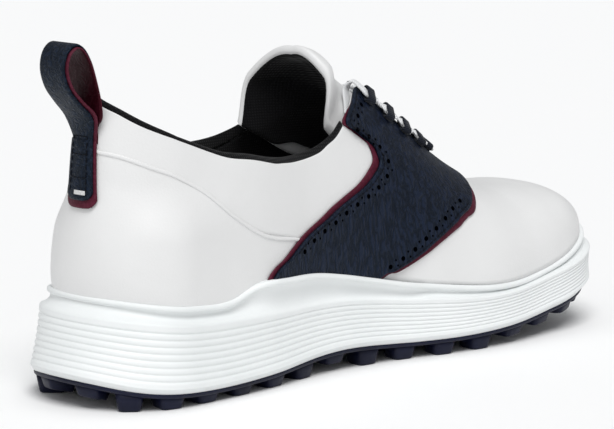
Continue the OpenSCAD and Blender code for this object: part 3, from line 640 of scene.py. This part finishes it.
def make_midsole():
    bottom = sole_loop(TREAD_TOP, 0, 1.2, 0.5, 5)
    foot = sole_loop(TREAD_TOP, 2, 0, 0, 2)
    ribs = sole_loop(RIB_TOP, 0, 0.8, 5.5, 0)
    # The arch wing stands further out, over the bottom of the saddle
    wing = 3.3 * smooth((LOOP_STATION - 66) / 16) * (1 - smooth((LOOP_STATION - 150) / 18))
    edge_in = 3.6 - wing
    rim = sole_loop(RIM, -2.6, edge_in, 6.6, 0)
    loops = [bottom, mix(bottom, foot, 0.45), mix(bottom, foot, 0.85)]
    x = foot[:, 0]
    drift = 0.012 * np.sin(x / 21.0) + 0.008 * np.sin(x / 9.0 + 1.3)
    ribs_high, groove_depth = 8.0, 0.42
    for t in np.linspace(0, 1, 93):
        # Grooves fill the wall up to 0.86 of its height and stop at 0.9, under a plain lip
        turns = ribs_high * (t / 0.86 + drift * np.sin(np.pi * t))
        groove = np.where(t < 0.9, (0.5 + 0.5 * np.cos(2 * np.pi * turns)) ** 2.5, 0)
        fade = smooth(t / 0.05) * smooth((0.93 - t) / 0.06)
        crown = 0.5 * 4 * t * (1 - t)
        edge = 0.35 * smooth((t - 0.97) / 0.03)
        push = crown + edge + groove_depth * groove * fade
        loops.append(mix(foot, ribs, t) + push[:, None] * inward(foot))
    for t in np.linspace(0.04, 1, 14):
        # The plain band is hollow between the ribbed wall and the rim bead
        depth = mix(1.0, 2.3, smooth((ribs[:, :1] - 4) / 22))
        hollow = 0.35 + depth * np.sin(np.pi * min(t, 0.98)) ** 0.8
        loops.append(mix(ribs, rim, t) + hollow * inward(ribs))
    bead = 1.25
    for angle in np.linspace(-60, 118, 11):
        r = math.radians(angle)
        inset = edge_in + 0.9 - bead * math.cos(r)
        loops.append(sole_loop(RIM, -1.75 + bead * math.sin(r), inset, 6.3, 0))
    for table, lift, inset in ((RIM, -1.1, 8.0), (RIM, -1.1, 9.0), (BED, 0, 9.5)):
        loops.append(sole_loop(table, lift, inset, 8, 0))
    points, faces = stacked(loops)
    piece = add_piece("midsole_ribbed", points, faces, FOAM, "shoe")
    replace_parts(piece, "midsole")


LUG_PITCH = 18.0
# Lugs reach the ground where the tread is lower than this; elsewhere they have one depth
LUG_GROUNDED, LUG_DEPTH, LUG_SQUARENESS = 8.3, 5.5, 5.0


def make_lug(s, side, inset, long, wide):
    x0, y0 = (float(v) for v in sole_edge(s, side, inset, 0.5, 5))
    x1, y1 = (float(v) for v in sole_edge(s + 1, side, inset, 0.5, 5))
    turn = math.atan2(y1 - y0, x1 - x0)
    top = float(curve(TREAD_TOP, x0))
    tip = 0.0 if top < LUG_GROUNDED else top - LUG_DEPTH
    tilt = math.atan(float(curve(TREAD_TOP, x0 + 2) - curve(TREAD_TOP, x0 - 2)) / 4)
    tip_tilt = 0.0 if tip == 0 else tilt
    corner = np.radians(np.arange(0, 360, 15))
    shape = signed_power(np.stack([np.cos(corner), np.sin(corner)], -1), 2 / LUG_SQUARENESS) / 2
    loops = []
    for f, trim in ((0, 0), (0.5, 1.3), (0.86, 2.3), (0.96, 2.9), (1, 3.9), (1, 6.4)):
        flat = shape * [long - trim, wide - trim]
        rx = flat[:, 0] * math.cos(turn) - flat[:, 1] * math.sin(turn)
        ry = flat[:, 0] * math.sin(turn) + flat[:, 1] * math.cos(turn)
        height = mix(top - 1.0, tip, f)
        slope = math.tan(mix(tilt, tip_tilt, f))
        loops.append(np.stack([x0 + rx, y0 + ry, np.maximum(height + rx * slope, 0)], -1))
    points = np.concatenate(loops)
    return points, tube_faces(len(loops), len(shape)), np.zeros((len(points), 2))


def make_outsole():
    plate, faces = stacked([
        sole_loop(TREAD_TOP, -1.8, 2.2, 1, 6.2), sole_loop(TREAD_TOP, -1.7, 1.6, 0.8, 5.6),
        sole_loop(TREAD_TOP, -1.2, 1.25, 0.5, 5.1), sole_loop(TREAD_TOP, -0.5, 1.1, 0.45, 4.9),
        sole_loop(TREAD_TOP, -0.05, 1.2, 0.5, 5)])
    parts = [(plate, faces, np.zeros((len(plate), 2)))]
    for side in (MEDIAL, LATERAL):
        for first, final, inset, wide in ((-8, 293, 8, 12), (46, 93, 26, 10), (158, 241, 27, 11)):
            parts += [make_lug(s, side, inset, 11, wide) for s in np.arange(first, final, LUG_PITCH)]
    points, faces = merge(parts)[:2]
    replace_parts(add_piece("outsole_lugged", points, faces, RUBBER, "shoe"), "outsole")


def make_insole():
    under = sole_loop(BED, 3.3, 11.2, 9, 2)
    edge = sole_loop(BED, 7.4, 10.6, 9, 1)
    spine = np.stack([np.clip(edge[:, 0], SOLE_HEEL_X, SOLE_TOE_X), 0 * edge[:, 0], 0 * edge[:, 0]], -1)
    loops = [under, sole_loop(BED, 4.2, 10.6, 9, 1), edge]
    for f in np.linspace(0.96, 0.06, 16):
        loop = spine + (edge - spine) * [f, f, 0]
        # Raised round the edge of the heel and under the arch, flat below the ball
        dish = 1.6 * (1 - f) * (1 - smooth((loop[:, 0] - 120) / 60))
        loop[:, 2] = curve(BED, loop[:, 0]) + 7.7 - dish
        loops.append(loop)
    points, faces = stacked(loops)
    piece = add_piece("insole_cupped", points, faces, FOOTBED, "footbed")
    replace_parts(piece, "insole")


# ---- Upper ---------------------------------------------
SEAM = [[-12, 0.35], [12, 0.33], [24, 0.303], [35, 0.278], [47, 0.234], [61, 0.159], [74, 0.092],
        [97, 0.069], [120, 0.06]]
TOPLINE = [[-12, 0.56], [8, 0.5], [22, 0.445], [39, 0.395], [62, 0.32], [85, 0.278], [98, 0.288],
           [114, 0.346], [125, 0.43], [131, 0.5]]
# How far below the rim the upper's lower edge is tucked into the sole
SOLE_TUCK = -0.008
LEATHER_T = 1.3
VAMP_REAR = [[0, 118], [0.2, 140], [0.4, 158], [0.6, 176], [0.75, 190], [0.85, 195], [1, 195]]
QUARTER_TOP = [[189, 0.86], [182, 0.78], [174, 0.735], [167, 0.72], [160, 0.71], [153, 0.72], [146, 0.74],
               [138, 0.61], [131, 0.5], [125, 0.43], [119, 0.385], [114, 0.346], [106, 0.31], [98, 0.288],
               [91, 0.28], [85, 0.278], [74, 0.292], [62, 0.32], [50, 0.358], [39, 0.395], [30, 0.42],
               [22, 0.445], [15, 0.472], [8, 0.5], [-2, 0.53], [-12, 0.56]]
QUARTER_LOW = [[189.5, 0.8], [187, 0.74], [181, 0.68], [174, 0.6], [167, 0.52], [160, 0.44], [152, 0.36],
               [145, 0.28], [137, 0.2], [128, 0.13], [119, 0.07], [110, 0.067], [103, 0.068], [97, 0.069],
               [91, 0.075], [85, 0.078], [74, 0.092], [61, 0.159], [50, 0.22], [41, 0.258], [35, 0.278],
               [24, 0.303], [17, 0.318], [8, 0.335], [-2, 0.345], [-12, 0.35]]


def make_vamp():
    rows, half, pole = 96, 44, 30
    i, j = np.meshgrid(np.arange(rows + 1), np.arange(2 * half + 1), indexing="ij")
    v = np.where(np.abs(j - half) == half, SOLE_TUCK, 1 - np.abs(j - half) / half)
    s = np.where(i <= pole, mix(curve(VAMP_REAR, v), TOE_X, i / pole),
                 mix(TOE_X, TOE_S, (i - pole) / (rows - pole)))
    side = np.where(j < half, MEDIAL, LATERAL)
    outer, inner = last(s, side, v, 0), last(s, side, v, -LEATHER_T)
    cols = 2 * half + 1
    total = (rows + 1) * cols
    # The sides share their points at the toe's tip, and past the pole the ridge is one point
    col = np.where((i == rows) & (j > half), cols - 1 - j, j)
    ids = np.where((col == half) & (i > pole), pole * cols + half, i * cols + col)
    quads = np.stack([ids[:-1, :-1], ids[1:, :-1], ids[1:, 1:], ids[:-1, 1:]], -1).reshape(-1, 4)
    faces = []
    for q in quads.tolist():
        q = list(dict.fromkeys(q))
        if len(q) > 2:
            faces += [q, [k + total for k in q[::-1]]]
    for k in range(rows):
        for a, b in ((ids[k, 0], ids[k + 1, 0]), (ids[k + 1, -1], ids[k, -1])):
            if a != b:
                faces.append([a, a + total, b + total, b])
    for k in range(cols - 1):
        a, b = ids[0, k + 1], ids[0, k]
        faces.append([a, a + total, b + total, b])
    used = sorted({k for f in faces for k in f})
    new = {k: n for n, k in enumerate(used)}
    points = np.concatenate([outer.reshape(-1, 3), inner.reshape(-1, 3)])[used]
    faces = [[new[k] for k in f] for f in faces]
    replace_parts(add_piece("vamp_smooth", points, faces, WHITE, "shoe"), "vamp")


def make_quarters():
    reach = 128

    def heel(a, b, off):
        t = mix(-reach, reach, a)
        seam = curve(SEAM, HEEL_S + np.abs(t))
        v = mix(SOLE_TUCK, seam + 0.014, b)
        # The top of the panel dips under the collar, behind the turned edge
        return around(t, v, off - 0.6 * smooth((v - seam + 0.001) / 0.008))
    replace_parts(leather("heel_panel_smooth", heel, np.linspace(0, 1, 181), soft_steps(30, 0.012),
                        -LEATHER_T, 0.0, WHITE, edges=(0, 0, 0, 0)), "heel_panel")
    top, low = through(QUARTER_TOP, 6), through(QUARTER_LOW, 6)
    for side, name in ((MEDIAL, "collar_medial"), (LATERAL, "collar_lateral")):
        def collar(a, b, off, side=side):
            t, l = between(top, a), between(low, a)
            s = mix(l[..., 0], t[..., 0], b)
            return last(np.maximum(s, HEEL_S + 0.4), side, mix(l[..., 1], t[..., 1], b), off)
        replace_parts(leather(name + "_smooth", collar, np.linspace(0, 1, 151), soft_steps(24, 0.015),
                            -LEATHER_T, 0.0, WHITE), name)
    # The raised, turned edge where the collar meets the heel panel
    t = np.linspace(-125, 125, 300)
    s = HEEL_S + np.abs(t)
    v = curve(SEAM, s) - 0.002
    path = around(t, v, 0.0)
    ups = up_from(s, np.where(t < 0, MEDIAL, LATERAL), v)
    points, faces, uv = swept(path, ups, rounded_section(1.5, 1.15, 9))
    add_piece("heel_seam_edge", points, faces, WHITE, "shoe", uv)


def lining_face(s, v):
    """How far inside the surface the lining's outer face lies: furthest over the padded collar."""
    return mix(mix(-3.3, -5.4, smooth((v - 0.2) / 0.1)), -2.6, smooth((s - 90) / 26))


def make_lining():
    top, low = through(QUARTER_TOP, 5), through(QUARTER_LOW, 5)
    a = np.linspace(0, 1, 2 * len(top) - 1)

    def lining(a, b, off):
        f = 1 - np.abs(2 * a - 1)
        side = np.where(a < 0.5, MEDIAL, LATERAL)
        t, l = between(top, f), between(low, f)
        # It ends with the quarter beside the throat, and reaches down to the rim behind that
        start = np.where(f * (len(QUARTER_TOP) - 1) < 9.5, l[..., 1], 0.0)
        v = mix(start, t[..., 1] - 0.012, b)
        s = mix(l[..., 0], t[..., 0], b)
        return last(np.maximum(s, HEEL_S + 0.02), side, v, lining_face(t[..., 0], v) + off)
    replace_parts(leather("collar_lining_knit", lining, a, np.linspace(0, 1, 30), -0.8, 0.0, LINING,
                        edges=(0, 0, 0, 0)), "collar_lining")
    # The padded roll along the topline
    reach = 142
    t = np.linspace(-reach, reach, 281)
    s = HEEL_S + np.abs(t)
    rows = []
    for f in np.linspace(0, 1, 13):
        tall = 1 + 0.75 * (1 - smooth((s - 16) / 32))
        high = 0.004 + 0.024 * tall * math.sin(math.pi * f) ** 0.7
        off = mix(0.0, lining_face(s, 0.5) - 0.7, f)
        rows.append(around(t, curve(TOPLINE, s) + high, off))
    deep = lining_face(s, 0.5)
    for drop, off in ((0.006, deep - 0.7), (0.004, deep * 0.5), (0.004, -0.3)):
        rows.append(around(t, curve(TOPLINE, s) - drop, off))
    loop = np.stack(rows, 1)
    piece = add_piece("topline_roll", loop.reshape(-1, 3), tube_faces(*loop.shape[:2]), LINING, "shoe")
    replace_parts(piece, "topline_binding")


# Lines across the saddle from its rear edge to its front edge: s, v, s, v, and how much of the
# underlay shows behind and in front of the saddle there
SADDLE_LINES = [
    [78, -0.01, 139, -0.01, 1], [86, 0.013, 143, 0.018, 1], [92, 0.03, 147, 0.031, 1],
    [102, 0.076, 154, 0.075, 1], [112, 0.126, 161, 0.126, 1], [120, 0.178, 165, 0.16, 1],
    [128, 0.23, 169, 0.195, 1], [135, 0.28, 173, 0.23, 1], [141, 0.338, 177, 0.267, 1],
    [145.5, 0.4, 181, 0.305, 1], [144, 0.455, 183, 0.33, 1], [138, 0.482, 185, 0.35, 1],
    [131, 0.492, 187, 0.37, 0.6], [138, 0.61, 190, 0.4, 0], [146, 0.74, 193, 0.44, 0],
    [153, 0.72, 195.5, 0.49, 0], [160, 0.71, 197.5, 0.54, 0], [167, 0.72, 199.5, 0.6, 0],
    [174, 0.735, 201, 0.66, 0], [182, 0.78, 203, 0.76, 0], [189, 0.87, 205, 0.88, 0],
    [192, 1, 206, 1, 0]]
UNDERLAY_LOW, UNDERLAY_T, SADDLE_LOW = 0.4, 0.7, 1.45
SADDLE_HIGH = SADDLE_LOW + LEATHER_T
# One unit of v is about this many mm of the surface
V_MM = 90
SADDLE_DENSE = through(SADDLE_LINES, 7)


def saddle_line(f):
    """The line across the saddle at f, its changes of s and v, and its length in mm."""
    line = between(SADDLE_DENSE, f)
    ds, dv = line[..., 2] - line[..., 0], line[..., 3] - line[..., 1]
    return line, ds, dv, np.maximum(np.hypot(ds, dv * V_MM), 20)


def saddle_point(f, side, g, off, show):
    line, ds, dv, span = saddle_line(f)
    k = mix(-show * line[..., 4] / span, 1 + show / span, g)
    s = line[..., 0] + ds * k
    v = np.clip(line[..., 1] + dv * k, SOLE_TUCK, 1)
    return s, v, last(s, side, v, off)


def make_saddle():
    cols = np.linspace(0, 1, 2 * len(SADDLE_DENSE) - 1)

    def layer(show):
        def place(a, b, off):
            f = 1 - np.abs(2 * a - 1)
            return saddle_point(f, np.where(a < 0.5, MEDIAL, LATERAL), b, off, show)[2]
        return place
    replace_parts(leather("saddle_underlay_burgundy", layer(2.5), cols, soft_steps(34, 0.008), UNDERLAY_LOW,
                        UNDERLAY_LOW + UNDERLAY_T, BURGUNDY, edges=(1, 1, 0, 0)), "saddle_underlay")
    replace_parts(leather("saddle_tumbled", layer(0), cols, soft_steps(40, 0.008), SADDLE_LOW - 0.3,
                        SADDLE_HIGH, NAVY, round_off=0.55, edges=(1, 1, 0, 0)), "saddle")


def saddle_rows():
    """Punched holes and stitches that follow the saddle's rear and front edges."""
    holes, threads = [], []
    for side in (MEDIAL, LATERAL):
        for inset, first, final, end in ((4.3, 0.1, 0.72, 0), (4.9, 0.1, 0.66, 1)):
            f = np.linspace(first, final, 220)
            # Each row keeps its distance from the rear edge (end 0) or the front edge (end 1)
            for kind, depth in (("holes", inset), ("threads", 1.7)):
                g = depth / saddle_line(f)[3]
                s, v, p = saddle_point(f, side, g if end == 0 else 1 - g, SADDLE_HIGH + 0.04, 0)
                ups = up_from(s, side, v)
                if kind == "holes":
                    holes += punch_row(p, ups, 6.8)
                else:
                    threads += stitch_row(p, ups, 2.2, 1.6, 0.2)
    # The holes are flat dark discs: painted shade for their depth
    add_merged("saddle_punches", holes, PUNCH_SHADE, "shoe")
    add_merged("saddle_stitching", threads, THREAD, "shoe")


# ---- Tongue --------------------------------------------
TONGUE_ROOT, TONGUE_TOP, TONGUE_OUT, TONGUE_RISE = 208.0, 122.0, -6.2, 2.5
WING_MEDIAL = [[126, 0.56], [132, 0.5], [142, 0.44], [165, 0.52], [190, 0.66], [208, 0.78]]
WING_LATERAL = [[117, 0.46], [126, 0.45], [142, 0.44], [165, 0.52], [190, 0.66], [208, 0.78]]
THROAT_EDGE = [[146, 0.74], [153, 0.72], [160, 0.71], [167, 0.72], [174, 0.735], [182, 0.78], [189, 0.87]]
MOUTH_EDGE = [[114, 0.35], [125, 0.43], [131, 0.5], [138, 0.61], [146, 0.74], [152, 0.8], [158, 1]]


def tongue_off(s, side, v):
    clear = smooth((v - curve(MOUTH_EDGE, s) - 0.07) / 0.17)
    lift = smooth((150 - s) / 22)
    # The padding swells up between the lacing's two edges
    swell = 2.6 * smooth((v - curve(THROAT_EDGE, s) - 0.04) / 0.14)
    swell = swell * smooth((s - 138) / 10) * smooth((206 - s) / 14)
    return mix(TONGUE_OUT + swell, TONGUE_RISE + np.where(side < 0, 12, 3) * (1 - v), clear * lift)


def tongue_place(a, b, depth):
    f = np.abs(a)
    side = np.where(a < 0, MEDIAL, LATERAL)
    s = mix(TONGUE_TOP + np.where(side < 0, 6, -7) * f**3, TONGUE_ROOT, b)
    v = mix(1, np.where(side < 0, curve(WING_MEDIAL, s), curve(WING_LATERAL, s)), f)
    return last(s, side, v, tongue_off(s, side, v) - depth)


def make_tongue():
    def from_edge(a, b):
        """Distance from the tongue's free edge: it is about 46 mm from middle to edge, 84 mm long."""
        return np.minimum((1 - np.abs(a)) * 46, b * 84)

    def edge_roll(distance):
        e = np.clip(distance / 2.2, 0, 1)
        return 1 - np.sqrt(np.clip(1 - (1 - e) ** 2, 0, 1))

    near = [0.95, 0.97, 0.985, 0.995, 1]
    a = np.concatenate([[-n for n in near[::-1]], np.linspace(-0.92, 0.92, 47), near])
    b = np.concatenate([[0, 0.003, 0.009, 0.018, 0.03], np.linspace(0.045, 1, 64)])
    a, b = np.meshgrid(a, b)
    edge = from_edge(a, b)
    quilt = 0.3 * np.sin(np.clip(edge / 14, 0, 1) * np.pi / 2)
    outer = tongue_place(a, b, 2.6 * edge_roll(edge) + 0.3 - quilt)
    inner = tongue_place(a, b, 4.6 - 1.4 * edge_roll(edge))
    points, faces = closed_sheet(outer, inner)
    cover = add_piece("tongue_cover", points, faces, WHITE, "tongue")
    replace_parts(cover, "tongue_shell", "tongue_foam")
    a, b = np.meshgrid(np.linspace(-1, 1, 81), np.linspace(0.006, 1, 80))
    # The lining stops short of the outer wing's edge, where the white cover turns in
    reach = np.where(a < 0, 0.988, mix(0.988, 0.87, smooth((b - 0.16) / 0.14)))
    a = a * reach
    roll = edge_roll(from_edge(a, b))
    outer, inner = tongue_place(a, b, 4.2 - 1.4 * roll), tongue_place(a, b, 5.3 - 1.7 * roll)
    points, faces = closed_sheet(outer, inner)
    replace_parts(add_piece("tongue_lining_knit", points, faces, LINING, "tongue"), "tongue_lining")


# ---- Lacing --------------------------------------------
LACE_STATIONS = [187.5, 178.2, 168.9, 159.6, 150.3]
LOOP_HIGH, LOOP_WIDE, LOOP_WALL, LOOP_LONG = 3.3, 8.0, 0.8, 4.4
LACE_W, LACE_T = 3.8, 1.2
LACE_RISE = SADDLE_HIGH + (LOOP_HIGH / 2 - 0.4) / 0.72


def loop_height(s):
    """The loops stand a little below the edge of the throat."""
    return float(curve(THROAT_EDGE, s)) - 0.035


def make_lace_loops():
    for side, name in ((MEDIAL, "lace_loops_medial"), (LATERAL, "lace_loops_lateral")):
        parts = []
        for s in LACE_STATIONS:
            v = loop_height(s)
            centre = last(s, side, v, LACE_RISE)
            up = up_from(s, side, v)
            ahead = unit(last(s + 2, side, v) - last(s - 2, side, v))
            sideways = unit(np.cross(up, ahead))
            ring = rounded_section(LOOP_WIDE - LOOP_WALL, LOOP_HIGH - LOOP_WALL, 11)
            outs = rounded_section(2, 2, 11)
            path = centre + ring[:, :1] * sideways + ring[:, 1:] * up
            out = outs[:, :1] * sideways + outs[:, 1:] * up
            section = rounded_section(LOOP_LONG, LOOP_WALL)
            points = path[:, None] + section[None, :, :1] * ahead + section[None, :, 1:] * out[:, None]
            n, m = points.shape[:2]
            ids = np.arange(n * m).reshape(n, m)
            nxt = np.roll(ids, -1, 0)
            faces = np.stack([ids, nxt, np.roll(nxt, -1, 1), np.roll(ids, -1, 1)], -1).reshape(-1, 4)
            parts.append((points.reshape(-1, 3), faces.tolist(), uv_grid(path, section[:, 0])))
        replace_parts(add_merged(name + "_webbing", parts, WEBBING, "shoe"), name)


def make_lace():
    under = TONGUE_OUT + 3.6
    over = under + 1.5
    tuck = TONGUE_OUT + 1.4

    def tucked_end(side):
        return [[140, side, 0.62, tuck], [142, side, 0.7, tuck + 0.6], [144, side, 0.78, -2.4],
                [145.6, side, 0.77, 2.6]]

    def loop_pass(k, side):
        s = LACE_STATIONS[k]
        v = loop_height(s)
        return [[s - 3, side, v + 0.015, LACE_RISE], [s - 1.7, side, v, LACE_RISE],
                [s + 1.7, side, v, LACE_RISE], [s + 3, side, v + 0.015, LACE_RISE]]

    def strand(side, height):
        rows = tucked_end(side)
        for k in (4, 3, 2, 1, 0):
            rows += loop_pass(k, side if k % 2 == 0 else -side)
            if k > 0:
                rows.append([(LACE_STATIONS[k] + LACE_STATIONS[k - 1]) / 2, LATERAL, 1, height])
        return rows

    bar = [[192.5, MEDIAL, 0.86, 4.4], [193, LATERAL, 1, 3.6], [192.5, LATERAL, 0.86, 4.4]]
    route = np.array(strand(MEDIAL, over) + bar + strand(LATERAL, under)[::-1])
    # Three steps between points as in the solid, then finer along the same line
    path = through(through(last(*route.T), 3), 3)
    ups = unit(through(through(up_from(*route.T[:3]), 3), 3))
    points, faces, uv = swept(path, ups, rounded_section(LACE_W, LACE_T))
    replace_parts(add_piece("lace_woven", points, faces, LACE, "shoe", uv), "lace")


# ---- Pull strap and loop -------------------------------
STRAP_HALF = 8.7
LOOP_OUTLINE = [[11.6, 107.4], [6.6, 113.2], [2.4, 119], [0.4, 126], [1.8, 132.4], [6, 135.8],
                [10, 134.2], [13, 129], [15.2, 122], [16.5, 115], [16.6, 108]]


def strap_rows(half, inset, low):
    """Rows of points from the strap's rounded end up the heel, over the loop and down its front."""
    f = np.linspace(-1, 1, 17)
    rows = []
    for k, v in enumerate(np.linspace(low, 0.385, 12)):
        pinch = 0.025 * np.abs(f) ** 4 * (1 - k / 11)
        rows.append(around(f * half * mix(1.08, 1, k / 11), v + pinch, 2.05 - inset))
    outline = np.array(LOOP_OUTLINE, float)
    tangent = unit(np.gradient(outline, axis=0))
    into = np.stack([tangent[:, 1], -tangent[:, 0]], -1)
    outline = outline + into * (0.65 + inset)
    for k, (x, z) in enumerate(outline):
        narrow = 0.96 - 0.18 * math.sin(math.pi * min((k + 1) / 8, 1))
        # Both ends of the loop are still cupped round the heel
        cup = max(1 - k / 2.5, 1 - (len(outline) - 1 - k) / 2.5, 0) / 62
        rows.append(np.stack([x + (f * half) ** 2 * cup, f * half * narrow, z + 0 * f], -1))
    for v, off in ((0.43, 1.0), (0.40, 0.6), (0.37, 0.5)):
        rows.append(around(f * half, np.full_like(f, v), off - inset * 0.3))
    return through(rows, 4)


def make_strap():
    # The tuple names the line where the loop leaves the heel; here it only keeps these pieces off any body,
    # their placement baked into the points
    bend = ("shoe", "loop", (-0.1235, -0.0022, 0.104), (-0.1235, -0.0022, 0.115))
    for name, material, inside, half, inset, low, thick, nodes in (
        ("pull_strap_leather", NAVY_STRAP, NAVY_STRAP, STRAP_HALF, 0.0, 0.18, 1.2,
         ("pull_strap", "pull_loop")),
        ("pull_strap_backing", BURGUNDY, BURGUNDY_SHADED_INSIDE, STRAP_HALF + 1.3, 1.0, 0.162, 0.7,
         ("pull_strap_lining", "pull_loop_lining")),
    ):
        grid = strap_rows(half, inset, low)
        rim = np.zeros(grid.shape[:2])
        rim[0] = rim[-1] = rim[:, 0] = rim[:, -1] = 1
        keep = (1 - 0.45 * rim)[..., None]
        normal = grid_normals(grid)
        outward = normal * np.sign((normal[8, 8] * [-1, 0, 0]).sum())
        points, faces = closed_sheet(grid + outward * keep * thick / 2, grid - outward * keep * thick / 2)
        # The inner face of each layer comes second among the sheet's faces; on the backing it takes the
        # darker burgundy, painted shade inside the loop
        sheet = (grid.shape[0] - 1) * (grid.shape[1] - 1)
        pick = (np.arange(len(faces)) // sheet == 1).astype(int)
        piece = add_piece(name, points, faces, [material, inside], None, pick=pick, bend=bend)
        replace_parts(piece, *nodes)
        if name == "pull_strap_leather":
            surface, normals = grid + outward * (thick / 2 + 0.02), outward
    threads = []
    for col in (3, 13):
        threads += stitch_row(surface[4:45, col], normals[4:45, col], 2.7, 2.0, 0.22)
    for row in (44, 30, 14):
        threads += stitch_row(surface[row, 3:14], normals[row, 3:14], 2.2, 1.7, 0.2)
    add_merged("pull_strap_stitching", threads, THREAD, None, bend)
    # A short white bar tack near the lower end
    tack = []
    for t in np.linspace(-5.4, 0.9, 12):
        f = np.linspace(0.193, 0.205, 7)
        path = around(np.full_like(f, t), f, 3.05)
        bulge = around(np.full_like(f, t), f, 3.4)
        tack.append(swept(path, unit(bulge - path), oval(8, 0.36, 0.26)))
    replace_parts(add_merged("bar_tack_thread", tack, TACK, "shoe"), "bar_tack")


def finish_hidden():
    """Materials for the inner pieces that keep their own solids."""
    for name, material in (
        ("shank", STEEL), ("forefoot_filler", BOARD), ("insole_board", BOARD), ("toe_puff", BOARD),
        ("heel_counter", BOARD), ("vamp_lining", GREY_LINING), ("collar_foam", PADDING),
    ):
        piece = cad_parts[name]
        piece.data.materials.clear()
        piece.data.materials.append(material)


make_midsole()
make_outsole()
make_insole()
make_vamp()
make_quarters()
make_lining()
make_saddle()
saddle_rows()
make_tongue()
make_lace_loops()
make_lace()
make_strap()
finish_hidden()

bpy.context.view_layer.update()
